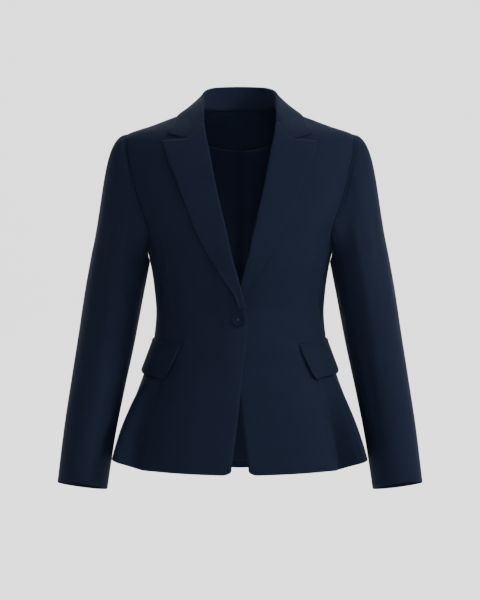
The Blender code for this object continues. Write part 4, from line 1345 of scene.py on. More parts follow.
@dataclass
class Inside:
    """The back neck facing and the back lining with its centre pleat."""

    draft: Draft
    cloth: float = 0.0015
    lining: float = 0.0010
    facing_rise: float = 0.0240
    facing_turn: float = 2.6
    facing_reach: float = 80.0
    facing_ease: float = 0.0024
    facing_columns: int = 97
    facing_rows: int = 31
    lining_first: float = 114.0
    lining_turn: float = 132.0
    lining_width: float = 0.30
    lining_columns: int = 110
    lining_rows: int = 121
    lining_nearest: tuple[float, ...] = (0.001, 0.002)
    lining_clearance: float = 0.0018
    lining_ease: float = 0.0022
    lining_reach: float = 70.0
    seam_gap: float = 0.0002
    hem_rise: float = 0.0140
    eased: float = 0.0011
    eased_at: float = 0.0022
    eased_width: float = 0.0016
    pleat: float = 0.0042
    pleat_angles: tuple[float, ...] = (168.0, 178.0, 181.5, 185.0)
    pleat_shares: tuple[float, ...] = (0.0, 1.0, 0.2, 0.0)
    slack: float = 0.0005
    slack_top: float = -0.12
    slack_fade: float = 0.2
    slack_turn: float = 0.9
    slack_rise: float = 14.0

    def facing_foot(self, angles: Grid) -> Grid:
        """Height of the facing's lower edge, which curves up to the shoulders."""
        turn = np.radians(np.clip(np.abs(180 - angles) * self.facing_turn, 0, 90))
        return FACING[0].height + self.facing_rise * np.sin(turn) ** 2

    def under_back(self, angles: Grid, heights: Grid, under: Grid) -> tuple[Grid, Grid]:
        """Points under the back and their outward directions, past the centre back.

        Args:
            angles: Angles that may pass 180 degrees.
            heights: Heights.
            under: Depth under the form.

        Returns:
            The points and the directions.
        """
        angles, heights = np.broadcast_arrays(angles, heights)
        plain = 180 - np.abs(180 - angles)
        place, _, normal = self.draft.form.frame(plain, heights)
        same = np.ones_like(angles)
        turn = np.stack([np.where(angles > 180, -1, 1), same, same], -1)
        creased = self.draft.creased(Side.LEFT, plain, heights)
        out = creased - np.broadcast_to(under, angles.shape)
        return (place + normal * out[..., None]) * turn, normal * turn

    def facing_piece(self) -> ClothPiece:
        """The facing, curved under the neck from shoulder to shoulder."""
        first, last = 180 - self.facing_reach, 180 + self.facing_reach
        angles = np.linspace(first, last, self.facing_columns)
        rows = np.linspace(0, 1, self.facing_rows)[:, None]
        heights = self.facing_foot(angles) * (1 - rows) + FACING[-1].height * rows
        clearance = read_column(FACING, "height", "clearance", heights)
        ease = self.facing_ease * ((180 - angles) / self.facing_reach) ** 2
        points, normals = self.under_back(angles, heights, self.cloth + clearance + ease)
        return ClothPiece(
            "back_neck_facing",
            points,
            normals,
            self.cloth,
            rests_on=("cloth_back_left", "cloth_back_right"),
            gap=0.0,
        )

    def lining_piece(self) -> ClothPiece:
        """The lining, from the facing's lower edge to above the hem."""
        even = np.linspace(0, 1, self.lining_columns)
        shares = with_borders(even, self.lining_width, self.lining_nearest)
        angles = shares * self.lining_turn + self.lining_first
        plain = 180 - np.abs(180 - angles)
        foot = self.draft.hem(plain) + self.hem_rise
        rows = np.linspace(0, 1, self.lining_rows)[:, None]
        top = self.facing_foot(plain) - self.seam_gap
        heights = foot + (top - foot) * rows
        under = self.cloth + self.lining_clearance
        under = under + self.lining_ease * ((180 - angles) / self.lining_reach) ** 2
        from_eased = (top - heights - self.eased_at) / self.eased_width
        under = under + self.eased * np.exp(-(from_eased**2))
        pleat = np.interp(angles, self.pleat_angles, np.multiply(self.pleat_shares, self.pleat))
        wave = np.sin(angles * self.slack_turn + heights * self.slack_rise)
        slack = self.slack * wave * np.clip((self.slack_top - heights) / self.slack_fade, 0, 1)
        points, normals = self.under_back(angles, heights, under + pleat + np.abs(slack))
        return ClothPiece(
            "back_lining",
            points,
            normals,
            self.lining,
            rests_on=("cloth_back_neck_facing",),
            slot="navy_lining",
            gap=0.0,
        )

    def build(
        self, wool: bpy.types.Material, lining: bpy.types.Material
    ) -> list[bpy.types.Object]:
        """Makes the facing and the lining.

        Args:
            wool: The facing's cloth.
            lining: The lining's cloth.

        Returns:
            Both pieces.
        """
        return [self.facing_piece().build(wool), self.lining_piece().build(lining)]


@dataclass
class Sleeve:
    """A two-piece set-in sleeve."""

    draft: Draft
    side: Side
    cloth: float = 0.0015
    rows_fine: int = 9
    cap_rows: int = 7
    arm_rows: int = 9
    under_first: int = 10
    under_last: int = 18
    overlap: float = 0.0006
    sink: float = 0.0003
    inner_rise: float = 0.0004
    head_ridge: float = 0.0010
    head_ridge_at: float = 0.0028
    head_ridge_width: float = 0.0017
    head_ridge_reach: float = 0.75
    head_fall: float = 0.35
    head_lean: float = 0.25
    head_share: float = 0.30
    head_rise: float = 0.022
    crown_rise: float = 0.0155
    under_lean: float = 0.10
    arm_share: float = 0.45
    arm_share_lost: float = 0.25
    outer_draw: float = 0.004
    inner_push: float = 0.001
    cap_ease: float = 1.15
    seam_width: float = 0.004
    crease_start: float = 0.03
    reach: float = 0.0014
    length: float = 0.62

    def armhole_ring(self) -> tuple[Grid, Grid, Grid, Grid]:
        """The armhole's points, their outward and inward directions and their turns."""
        draft = self.draft
        upper, lower, rise, back = draft.armhole()
        loop = np.concatenate([upper, lower[1:], rise[1:], back[1:]])
        place, _, normal = draft.form.frame(loop[:, 0], loop[:, 1])
        creased = draft.creased(self.side, loop[:, 0], loop[:, 1])
        place = place + normal * creased[:, None]
        tangent = np.gradient(place, axis=0)
        tangent[0] = tangent[-1] = place[1] - place[-2]
        inward = unit(np.cross(tangent, normal))
        centre = place.mean(0)
        inward = inward * np.sign(((centre - place) * inward).sum(-1, keepdims=True))
        lengths = np.linalg.norm(np.diff(place, axis=0), axis=1)
        lengths = np.concatenate([[0], np.cumsum(lengths)])
        bottom = (draft.front_steps + draft.side_front_steps) * draft.fine
        front_share = lengths[: bottom + 1] / lengths[bottom]
        back_share = (lengths[bottom + 1 :] - lengths[bottom]) / (lengths[-1] - lengths[bottom])
        turns = np.concatenate([front_share * math.pi, math.pi + back_share * math.pi])
        return place, normal, inward, turns

    def arm(self, turns: Grid) -> Grid:
        """Rings of the arm below the cap, from its top down.

        Args:
            turns: Turns of the rings' points round the sleeve, in radians.

        Returns:
            The rings' points.
        """
        rings = np.linspace(0, 1, self.arm_rows * self.rows_fine + 1)
        marks = np.linspace(0, 1, len(SLEEVE))
        columns = {
            name: smooth_through(marks, [getattr(row, name) for row in SLEEVE], rings)
            for name in SleeveRing._fields
        }
        outer = np.stack([columns["outer_x"], columns["middle_y"], columns["outer_z"]], -1)
        inner = np.stack([columns["inner_x"], columns["middle_y"], columns["inner_z"]], -1)
        tilt = np.gradient(columns["middle_y"]) / -np.gradient(columns["outer_z"])
        depth = unit(np.stack([np.zeros_like(tilt), -np.ones_like(tilt), -tilt], -1))
        depth = depth * columns["half_depth"][:, None]
        return (
            ((outer + inner) / 2)[:, None]
            + ((outer - inner) / 2)[:, None] * np.cos(turns)[:, None]
            + depth[:, None] * np.sin(turns)[:, None]
        )

    def surface(self) -> tuple[Grid, Grid]:
        """The whole sleeve, rows going down and columns round it, and its turns in degrees."""
        place, normal, inward, turns = self.armhole_ring()
        arm = self.arm(turns)
        inner_side = (1 - np.cos(turns)[:, None]) / 2
        under = inner_side**3
        start = place - self.overlap * inward
        start += (self.inner_rise * under - self.sink * (1 - under)) * normal
        down = unit(arm[self.rows_fine] - arm[0])
        reach = np.linalg.norm(arm[0] - start, axis=-1, keepdims=True)
        fall = -self.head_fall * np.abs(np.cos(turns))[:, None]
        away = unit(np.array([1.0, 0, 0]) + self.head_lean * normal + [0, 0, 1] * fall)
        away = unit((1 - under) * away + under * (down + [self.under_lean, 0, 0]))
        head = np.maximum(np.cos(turns), 0)[:, None] ** 2
        rise = np.minimum(self.head_share * reach, self.head_rise + self.crown_rise * head)
        first = start + away * rise
        second = arm[0] - down * (self.arm_share - self.arm_share_lost * inner_side) * reach
        second += [-self.outer_draw, 0, 0] * (1 - inner_side) ** 2
        second += [self.inner_push, 0, 0] * inner_side**4
        even = np.linspace(0, 1, self.cap_rows * self.rows_fine + 1)[:-1, None, None]
        steps = even**self.cap_ease
        cap = (
            (1 - steps) ** 3 * start
            + 3 * (1 - steps) ** 2 * steps * first
            + 3 * (1 - steps) * steps**2 * second
            + steps**3 * arm[0]
        )
        near_body = np.clip(3 * inner_side - 1.6, 0, 1)
        past_seam = np.linalg.norm(cap - start, axis=-1) - self.seam_width
        least = np.minimum(self.inner_rise, self.inner_rise + 0.5 * past_seam)
        cap[1:] += (self.draft.form.clear(cap[1:], least[1:]) - cap[1:]) * near_body
        return np.concatenate([cap, arm]), np.degrees(turns)

    def build(self, finish: bpy.types.Material) -> list[bpy.types.Object]:
        """Makes the upper and the under sleeve."""
        surface, turns = self.surface()
        closed = np.concatenate([surface[:, -2:-1], surface, surface[:, 1:2]], axis=1)
        normals = -grid_normals(closed)[:, 1:-1]
        share = np.linspace(0, 1, len(surface))[:, None]
        away = np.linalg.norm(surface - surface[:1], axis=-1)
        moved = relief(SLEEVE_CREASES[self.side], turns[None], share, self.reach, self.length)
        moved = moved * np.clip(away / self.crease_start, 0, 1)
        over = np.clip(np.cos(np.radians(turns)) + self.head_ridge_reach, 0, 1)[None]
        ridge = np.exp(-(((away - self.head_ridge_at) / self.head_ridge_width) ** 2))
        moved = moved + self.head_ridge * over * ridge
        surface = surface + moved[..., None] * normals
        first, last = self.under_first * self.draft.fine, self.under_last * self.draft.fine
        upper = np.concatenate([surface[:, last:-1], surface[:, : first + 1]], axis=1)
        upper_normals = np.concatenate([normals[:, last:-1], normals[:, : first + 1]], axis=1)
        name = self.side.word
        made = []
        for label, grid, outward in (
            ("upper_sleeve", upper, upper_normals),
            ("under_sleeve", surface[:, first : last + 1], normals[:, first : last + 1]),
        ):
            piece = ClothPiece(
                f"{label}_{name}",
                grid[::-1],
                outward[::-1],
                self.cloth,
                self.side,
                seam_sides=("left", "right"),
            )
            made.append(piece.build(finish))
        return made


@dataclass
class Pocket:
    """A slanted flap and the narrow welt over it."""

    draft: Draft
    side: Side
    columns: int = 84
    rows: int = 54
    width: float = 0.17
    nearest: tuple[float, ...] = (0.001, 0.002, 0.003)
    reach: float = 0.0022
    lie_top: float = 0.0028
    lie_bottom: float = 0.0066
    flap_swell: float = 0.0006
    flap_cloth: float = 0.0020
    welt_foot: float = 0.0006
    welt_height: float = 0.0042
    welt_points: int = 7
    welt_lie: float = 0.0025
    welt_swell: float = 0.0005
    welt_cloth: float = 0.0018

    def chart(self) -> Grid:
        """(angle, height) grid of the flap."""
        spread = with_borders(np.linspace(0, 1, self.columns + 1), self.width, self.nearest)
        lines = []
        for line in (FLAP_BOTTOM, FLAP_TOP):
            angles = np.array([point.angle for point in line])
            heights = np.array([point.height for point in line])
            lengths = np.hypot(np.diff(angles) * self.reach, np.diff(heights))
            travelled = np.concatenate([[0], np.cumsum(lengths)]) / lengths.sum()
            angles = smooth_through(travelled, angles, spread)
            heights = smooth_through(travelled, heights, spread)
            lines.append(np.stack([angles, heights], -1))
        bottom, top = lines
        up = np.linspace(0, 1, self.rows + 1)[:, None]
        left = bottom[0] + (top[0] - bottom[0]) * up
        right = bottom[-1] + (top[-1] - bottom[-1]) * up
        return patch(bottom, right, top, left, spread)

    def laid(self, chart: Grid, lie: Grid) -> tuple[Grid, Grid]:
        """Points over the body at a height above its cloth, and their outward directions."""
        place, _, normal = self.draft.form.frame(chart[..., 0], chart[..., 1])
        out = lie + self.draft.creased(self.side, chart[..., 0], chart[..., 1])
        return place + normal * out[..., None], normal

    def build(self, finish: bpy.types.Material) -> list[bpy.types.Object]:
        """Makes the flap and the welt."""
        chart = self.chart()
        up = np.linspace(0, 1, self.rows + 1)[:, None]
        lie = self.lie_bottom + (self.lie_top - self.lie_bottom) * up
        lie = np.broadcast_to(lie + self.flap_swell * np.sin(math.pi * up), chart.shape[:2])
        points, normals = self.laid(chart, lie)
        name = self.side.word
        flap = ClothPiece(
            f"pocket_flap_{name}",
            points,
            normals,
            self.flap_cloth,
            self.side,
            Held.HUNG,
            (f"cloth_pocket_welt_{name}",),
            gap=0.0,
            rolled_sides=("left", "right", "bottom"),
            roll=0.0012,
        ).build(finish)
        top = chart[-1]
        up = np.linspace(0, 1, self.welt_points)[:, None]
        rise = np.linspace(self.welt_foot, self.welt_height, self.welt_points)[:, None]
        angles = np.broadcast_to(top[:, 0], (self.welt_points, len(top)))
        welt = np.stack([angles, top[:, 1] + rise], -1)
        crown = self.welt_lie + self.welt_swell * np.sin(math.pi * up)
        points, normals = self.laid(welt, np.broadcast_to(crown, welt.shape[:2]))
        edge = ClothPiece(
            f"pocket_welt_{name}",
            points,
            normals,
            self.welt_cloth,
            self.side,
            Held.FOLDED,
            (f"cloth_side_front_{name}",),
            gap=0.0,
        ).build(finish)
        return [flap, edge]


@dataclass
class StitchRow:
    """Even stitches along a path, each a short padded thread, made by one node tree."""

    name: str
    thread: float = 0.00042
    length: float = 0.00075
    spacing: float = 0.00036
    least: float = 0.90
    most: float = 1.08
    seed: int = 7

    def tree(self, finish: bpy.types.Material) -> bpy.types.NodeTree:
        """The node tree that lays a stitch at every step of a path.

        Args:
            finish: The thread's material.

        Returns:
            The tree, with its sizes as named inputs.
        """
        tree = bpy.data.node_groups.new(f"{self.name}_stitches", "GeometryNodeTree")
        face = tree.interface
        face.new_socket("Geometry", in_out="INPUT", socket_type="NodeSocketGeometry")
        for label in ("Thread", "Length", "Spacing"):
            face.new_socket(label, in_out="INPUT", socket_type="NodeSocketFloat")
        face.new_socket("Seed", in_out="INPUT", socket_type="NodeSocketInt")
        face.new_socket("Geometry", in_out="OUTPUT", socket_type="NodeSocketGeometry")
        add, link = tree.nodes.new, tree.links.new
        entry, leave = add("NodeGroupInput"), add("NodeGroupOutput")
        path = add("GeometryNodeMeshToCurve")
        even = add("GeometryNodeResampleCurve")
        even.mode = "LENGTH"
        places = add("GeometryNodeCurveToPoints")
        places.mode = "EVALUATED"
        stitch = add("GeometryNodeMeshUVSphere")
        stitch.inputs["Segments"].default_value = 8
        stitch.inputs["Rings"].default_value = 6
        stitch.inputs["Radius"].default_value = 0.5
        size = add("ShaderNodeCombineXYZ")
        uneven = add("FunctionNodeRandomValue")
        uneven.data_type = "FLOAT"
        uneven.inputs[2].default_value = self.least
        uneven.inputs[3].default_value = self.most
        scaled = add("ShaderNodeVectorMath")
        scaled.operation = "SCALE"
        lay = add("GeometryNodeInstanceOnPoints")
        real = add("GeometryNodeRealizeInstances")
        dressed = add("GeometryNodeSetMaterial")
        dressed.inputs["Material"].default_value = finish
        link(entry.outputs["Geometry"], path.inputs["Mesh"])
        link(path.outputs["Curve"], even.inputs["Curve"])
        link(entry.outputs["Spacing"], even.inputs["Length"])
        link(even.outputs["Curve"], places.inputs["Curve"])
        link(entry.outputs["Length"], size.inputs["X"])
        link(entry.outputs["Thread"], size.inputs["Y"])
        link(entry.outputs["Thread"], size.inputs["Z"])
        link(entry.outputs["Seed"], uneven.inputs["Seed"])
        link(size.outputs[0], scaled.inputs[0])
        link(uneven.outputs[1], scaled.inputs["Scale"])
        link(places.outputs["Points"], lay.inputs["Points"])
        link(stitch.outputs["Mesh"], lay.inputs["Instance"])
        link(places.outputs["Rotation"], lay.inputs["Rotation"])
        link(scaled.outputs[0], lay.inputs["Scale"])
        link(lay.outputs["Instances"], real.inputs["Geometry"])
        link(real.outputs["Geometry"], dressed.inputs["Geometry"])
        link(dressed.outputs["Geometry"], leave.inputs["Geometry"])
        return tree

    def build(self, path: Grid, finish: bpy.types.Material) -> bpy.types.Mesh:
        """Lays the stitches along a path.

        Args:
            path: The path's points.
            finish: The thread's material.

        Returns:
            One plain mesh of all the stitches.
        """
        label = f"{self.name}_path"
        holder = placed(label, joined_up(label, path.tolist()))
        tree = self.tree(finish)
        modifier = holder.modifiers.new("stitches", "NODES")
        modifier.node_group = tree
        sizes = {
            "Thread": self.thread,
            "Length": self.length,
            "Spacing": self.spacing,
            "Seed": self.seed,
        }
        for item in tree.interface.items_tree:
            if item.in_out == "INPUT" and item.name in sizes:
                modifier[item.identifier] = sizes[item.name]
        made = plain_mesh(holder)
        bpy.data.objects.remove(holder, do_unlink=True)
        return made


@dataclass
class Button:
    """The turned button on the upper front, its thread and its buttonhole."""

    draft: Draft
    radius: float = 0.0109
    across: float = 0.0033
    height: float = -0.3628
    lie: float = 0.0013
    hole_radius: float = 0.0009
    hole_ring: float = 0.0021
    rings: int = 96
    profile_points: int = 67
    cutter_depth: float = 0.02
    sharp_from: float = 50.0
    thread_radius: float = 0.00020
    thread_apart: float = 0.00030
    thread_lie: float = 0.0024
    thread_arch: float = 0.0007
    thread_cross: float = 0.0002
    thread_foot: float = 0.0012
    buttonhole_length: float = 0.0155
    buttonhole_width: float = 0.0011
    buttonhole_lie: float = 0.0002

    def place(self) -> Matrix:
        """Where the button lies on the front, its own upward direction turned outward."""
        height = np.array([self.height])
        across = np.array([self.across])
        point = self.draft.on_front(Side.RIGHT, across, height, np.array([self.lie]))[0]
        angle = self.draft.form.angle_at(across, height)
        _, _, normal = self.draft.form.frame(angle, height)
        outward = Vector(normal[0] * [-1, 1, 1]).normalized()
        east = Vector((0, 0, 1)).cross(outward).normalized()
        north = outward.cross(east)
        turned = Matrix((east, north, outward)).transposed().to_4x4()
        turned.translation = Vector(point * [-1, 1, 1])
        return turned

    def disc(self, finish: bpy.types.Material) -> bpy.types.Object:
        """The turned disc with its rim, dish and four holes.

        Args:
            finish: The button's material.

        Returns:
            The finished button.
        """
        profile = np.array(
            [
                (0.0000, 0.0001),
                (0.0078, 0.0001),
                (self.radius - 0.0011, 0.0006),
                (self.radius - 0.0002, 0.0015),
                (self.radius, 0.0023),
                (self.radius - 0.0004, 0.0031),
                (self.radius - 0.0011, 0.0035),
                (self.radius - 0.0019, 0.0035),
                (self.radius - 0.0026, 0.0030),
                (0.0076, 0.0026),
                (0.0050, 0.0023),
                (0.0000, 0.0022),
            ]
        )
        at = np.linspace(0, 1, len(profile))
        close = np.linspace(0, 1, self.profile_points)
        radii = smooth_through(at, profile[:, 0], close)
        rises = smooth_through(at, profile[:, 1], close)
        points = [(radius, 0.0, rise) for radius, rise in zip(radii.tolist(), rises.tolist())]
        made = placed("button_disc", joined_up("button_disc", points))
        turn = made.modifiers.new("turned", "SCREW")
        turn.axis = "Z"
        turn.steps = turn.render_steps = self.rings
        turn.use_merge_vertices = True
        turn.merge_threshold = 0.00005
        turn.use_normal_calculate = True
        cutters = []
        for number in range(4):
            bpy.ops.mesh.primitive_cylinder_add(
                vertices=24, radius=self.hole_radius, depth=self.cutter_depth
            )
            cutter = bpy.context.object
            quarter = math.radians(45 + 90 * number)
            cutter.location = (
                self.hole_ring * math.cos(quarter),
                self.hole_ring * math.sin(quarter),
                0,
            )
            hole = made.modifiers.new(f"hole_{number}", "BOOLEAN")
            hole.object = cutter
            hole.solver = "EXACT"
            cutters.append(cutter)
        plain = plain_mesh(made)
        made.modifiers.clear()
        made.data = plain
        for cutter in cutters:
            bpy.data.objects.remove(cutter, do_unlink=True)
        plain.transform(self.place())
        plain.shade_smooth()
        plain.set_sharp_from_angle(angle=math.radians(self.sharp_from))
        plain.materials.clear()
        plain.materials.append(finish)
        return made

    def thread(self, finish: bpy.types.Material) -> bpy.types.Object:
        """The crossed threads through the four holes."""
        strands = []
        for number, (start, end) in enumerate(((45, 225), (135, 315))):
            one, two = (
                np.array([math.cos(math.radians(turn)), math.sin(math.radians(turn)), 0])
                for turn in (start, end)
            )
            for offset in (-self.thread_apart, 0.0, self.thread_apart):
                side = np.array([-one[1], one[0], 0]) * offset
                share = np.linspace(0, 1, 15)[:, None]
                hole = one * self.hole_ring
                line = hole + (two * self.hole_ring - hole) * share + side
                arch = self.thread_arch * np.sin(math.pi * share[:, 0]) ** 0.5
                rise = self.thread_lie + arch + self.thread_cross * number
                rise[[0, -1]] = self.thread_foot
                line[:, 2] = rise
                strands.append(line)
        return self.tubes("button_thread", strands, self.thread_radius, self.place(), finish)

    def tubes(
        self, name: str, lines: list[Grid], radius: float, place: Matrix, finish: bpy.types.Material
    ) -> bpy.types.Object:
        """Round threads along lines, as one piece.

        Args:
            name: The piece's name.
            lines: Points of each thread.
            radius: Half the thread's thickness.
            place: Where the threads lie.
            finish: Their material.

        Returns:
            The finished piece.
        """
        curve = bpy.data.curves.new(name, "CURVE")
        curve.dimensions = "3D"
        curve.bevel_depth = radius
        curve.bevel_resolution = 2
        curve.use_fill_caps = True
        for line in lines:
            spline = curve.splines.new("POLY")
            spline.points.add(len(line) - 1)
            flat = np.concatenate([line, np.ones((len(line), 1))], 1)
            spline.points.foreach_set("co", flat.ravel())
        holder = placed(name, curve)
        mesh = plain_mesh(holder)
        bpy.data.objects.remove(holder, do_unlink=True)
        mesh.transform(place)
        mesh.shade_smooth()
        mesh.materials.clear()
        mesh.materials.append(finish)
        return placed(name, mesh)

    def buttonhole(self, finish: bpy.types.Material) -> bpy.types.Object:
        """The stitched buttonhole that runs out from under the button to the side."""
        half, long = self.buttonhole_width, self.buttonhole_length
        share = np.linspace(0, 1, 60)
        upper = np.stack([long * share, np.full(len(share), half)], -1)
        turn = np.linspace(math.pi / 2, -math.pi / 2, 16)[1:-1]
        end = np.stack([long + half * np.cos(turn), half * np.sin(turn)], -1)
        line = np.concatenate([upper, end, (upper * [1, -1])[::-1]])
        across = self.across + line[:, 0]
        height = self.height + line[:, 1]
        lie = np.full(len(line), self.buttonhole_lie)
        path = self.draft.on_front(Side.RIGHT, across, height, lie)
        mesh = StitchRow("buttonhole").build(path * [-1, 1, 1], finish)
        mesh.shade_smooth()
        return placed("buttonhole_stitches", mesh)

    def build(
        self, horn: bpy.types.Material, thread: bpy.types.Material
    ) -> list[bpy.types.Object]:
        """Makes the button with its thread and buttonhole.

        Args:
            horn: The button's material.
            thread: The thread's material.

        Returns:
            The three pieces.
        """
        disc = self.disc(horn)
        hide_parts("button")
        pieces = [disc, self.thread(thread), self.buttonhole(thread)]
        for piece in pieces:
            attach(piece, "root")
        for piece in pieces[1:]:
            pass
        return pieces


class Value:
    """A shader socket that adds Math nodes when it is used in an expression."""

    def __init__(self, shader: "Shader", socket: bpy.types.NodeSocket) -> None:
        """Wraps an output socket of a shader's tree."""
        self.shader = shader
        self.socket = socket

    def _math(self, operation: str, *values: Any) -> "Value":
        """One Math node on these values."""
        inputs = dict(enumerate(values))
        return self.shader.node("ShaderNodeMath", {"operation": operation}, inputs)

    def __add__(self, other: Any) -> "Value":
        """Sum."""
        return self._math("ADD", self, other)

    __radd__ = __add__

    def __sub__(self, other: Any) -> "Value":
        """Difference."""
        return self._math("SUBTRACT", self, other)

    def __rsub__(self, other: Any) -> "Value":
        """Difference from a number."""
        return self._math("SUBTRACT", other, self)

    def __mul__(self, other: Any) -> "Value":
        """Product."""
        return self._math("MULTIPLY", self, other)

    __rmul__ = __mul__

    def sine(self) -> "Value":
        """Sine of the value."""
        return self._math("SINE", self)

    def size(self) -> "Value":
        """The value without its sign."""
        return self._math("ABSOLUTE", self)


class Shader:
    """A material's node tree, written as expressions on values."""

    def __init__(self, name: str) -> None:
        """Starts a material with an empty tree."""
        self.material = bpy.data.materials.new(name)
        self.material.use_nodes = True
        self.tree = self.material.node_tree
        self.tree.nodes.clear()

    def node(
        self, kind: str, settings: dict[str, Any], inputs: dict[Any, Any], output: Any = 0
    ) -> Value:
        """Adds one node.

        Args:
            kind: The node's type.
            settings: Its properties, set first.
            inputs: Values or links of its sockets, by name or number.
            output: Name or number of the wanted output.

        Returns:
            The wanted output.
        """
        node = self.tree.nodes.new(kind)
        for name, setting in settings.items():
            setattr(node, name, setting)
        for key, value in inputs.items():
            socket = node.inputs[key]
            if isinstance(value, Value):
                self.tree.links.new(value.socket, socket)
            else:
                socket.default_value = value
        return Value(self, node.outputs[output])

    def noise(self, where: Value, scale: float, detail: float = 2.0) -> Value:
        """Soft noise from 0 to 1 over a place in metres."""
        inputs = {"Vector": where, "Scale": scale, "Detail": detail, "Roughness": 0.55}
        return self.node("ShaderNodeTexNoise", {}, inputs, "Fac")

    def place(self) -> Value:
        """The place on the piece in metres."""
        return self.node("ShaderNodeTexCoord", {}, {}, "Object")

    def bump(self, strength: float, distance: float, height: Value) -> Value:
        """A surface direction that follows a fine relief."""
        inputs = {"Strength": strength, "Distance": distance, "Height": height}
        return self.node("ShaderNodeBump", {}, inputs)

    def between(self, share: Value, low: tuple, high: tuple) -> Value:
        """A colour between two, by a share."""
        inputs = {0: share, 6: (*low, 1.0), 7: (*high, 1.0)}
        return self.node("ShaderNodeMix", {"data_type": "RGBA"}, inputs, 2)

    def finish(self, inputs: dict[str, Any]) -> bpy.types.Material:
        """Closes the tree with its surface.

        Args:
            inputs: Values or links of the surface's sockets.

        Returns:
            The finished material.
        """
        surface = self.node("ShaderNodeBsdfPrincipled", {}, inputs)
        leave = self.tree.nodes.new("ShaderNodeOutputMaterial")
        self.tree.links.new(surface.socket, leave.inputs["Surface"])
        return self.material


@dataclass(frozen=True)
class WoolFinish:
    """Fine worsted twill, matt and faintly uneven."""

    name: str = "wool_twill"
    deep: tuple[float, float, float] = (0.0040, 0.0060, 0.0138)
    light: tuple[float, float, float] = (0.0064, 0.0092, 0.0198)
    rib: float = 0.0011
    roughness: float = 0.78
    sheen: float = 0.02

    def build(self) -> bpy.types.Material:
        """Makes the material."""
        shader = Shader(self.name)
        flat = shader.node("ShaderNodeUVMap", {"uv_map": "cloth"}, {})
        east, north = (
            shader.node("ShaderNodeSeparateXYZ", {}, {0: flat}, axis) for axis in ("X", "Y")
        )
        place = shader.place()
        turn = 2 * math.pi / self.rib
        twill = ((east + north * 0.8) * turn).sine()
        yarn = ((north - east * 0.8) * (turn * 1.4)).sine()
        fuzz = shader.noise(place, 900.0, 3.0)
        shade = shader.noise(place, 22.0, 2.0)
        rise = twill * 0.35 + yarn * 0.15 + fuzz
        tone = shade * 0.55 + fuzz * 0.35 + twill * 0.06
        return shader.finish(
            {
                "Base Color": shader.between(tone, self.deep, self.light),
                "Roughness": self.roughness + 0.10 * (fuzz - 0.5),
                "Normal": shader.bump(0.35, 0.00022, rise),
                "Specular IOR Level": 0.07,
                "Specular Tint": (0.62, 0.74, 1.0, 1.0),
                "Sheen Weight": self.sheen,
                "Sheen Roughness": 0.45,
                "Sheen Tint": (0.45, 0.60, 1.0, 1.0),
            }
        )


@dataclass(frozen=True)
class LiningFinish:
    """Smooth satin lining with faint lengthways threads."""

    name: str = "satin_lining"
    deep: tuple[float, float, float] = (0.0036, 0.0054, 0.0150)
    light: tuple[float, float, float] = (0.0052, 0.0076, 0.0205)
    roughness: float = 0.50

    def build(self) -> bpy.types.Material:
        """Makes the material."""
        shader = Shader(self.name)
        place = shader.place()
        fine = shader.node(
            "ShaderNodeMapping", {}, {"Vector": place, "Scale": (1600.0, 1600.0, 90.0)}
        )
        thread = shader.noise(fine, 1.0, 1.0)
        shade = shader.noise(place, 30.0, 2.0)
        return shader.finish(
            {
                "Base Color": shader.between(shade * 0.7 + thread * 0.3, self.deep, self.light),
                "Roughness": self.roughness + 0.08 * (thread - 0.5),
                "Normal": shader.bump(0.25, 0.0001, thread + shade * 2.0),
                "Specular IOR Level": 0.07,
                "Specular Tint": (0.70, 0.80, 1.0, 1.0),
            }
        )


@dataclass(frozen=True)
class HornFinish:
    """Dark horn of the button, dull and softly mottled."""

    name: str = "dark_horn"
    deep: tuple[float, float, float] = (0.0020, 0.0033, 0.0105)
    light: tuple[float, float, float] = (0.0038, 0.0058, 0.0165)
    roughness: float = 0.58

    def build(self) -> bpy.types.Material:
        """Makes the material."""
        shader = Shader(self.name)
        place = shader.place()
        mottle = shader.noise(place, 260.0, 3.0)
        wear = shader.noise(place, 2600.0, 2.0)
        return shader.finish(
            {
                "Base Color": shader.between(mottle, self.deep, self.light),
                "Roughness": self.roughness + 0.16 * (wear - 0.5),
                "Normal": shader.bump(0.12, 0.0001, wear),
                "Specular IOR Level": 0.06,
                "Specular Tint": (0.70, 0.80, 1.0, 1.0),
            }
        )


@dataclass(frozen=True)
class ThreadFinish:
    """Twisted polyester thread."""

    name: str = "navy_thread"
    deep: tuple[float, float, float] = (0.0028, 0.0042, 0.0100)
    light: tuple[float, float, float] = (0.0052, 0.0076, 0.0165)
    roughness: float = 0.55

    def build(self) -> bpy.types.Material:
        """Makes the material."""
        shader = Shader(self.name)
        place = shader.place()
        twist = shader.noise(place, 4200.0, 2.0)
        return shader.finish(
            {
                "Base Color": shader.between(twist, self.deep, self.light),
                "Roughness": self.roughness + 0.1 * (twist - 0.5),
                "Normal": shader.bump(0.3, 0.00008, twist),
            }
        )


@dataclass(frozen=True)
class StudioFinish:
    """Plain pale paper of the floor and the backdrop."""

    name: str = "studio_paper"
    colour: tuple[float, float, float] = (0.92, 0.92, 0.92)

    def build(self) -> bpy.types.Material:
        """Makes the material."""
        shader = Shader(self.name)
        inputs = {"Base Color": (*self.colour, 1.0), "Roughness": 0.9, "Specular IOR Level": 0.1}
        return shader.finish(inputs)


@dataclass(frozen=True)
class Lamp:
    """One soft square light."""

    name: str
    place: tuple[float, float, float]
    aim: tuple[float, float, float]
    size: float
    power: float


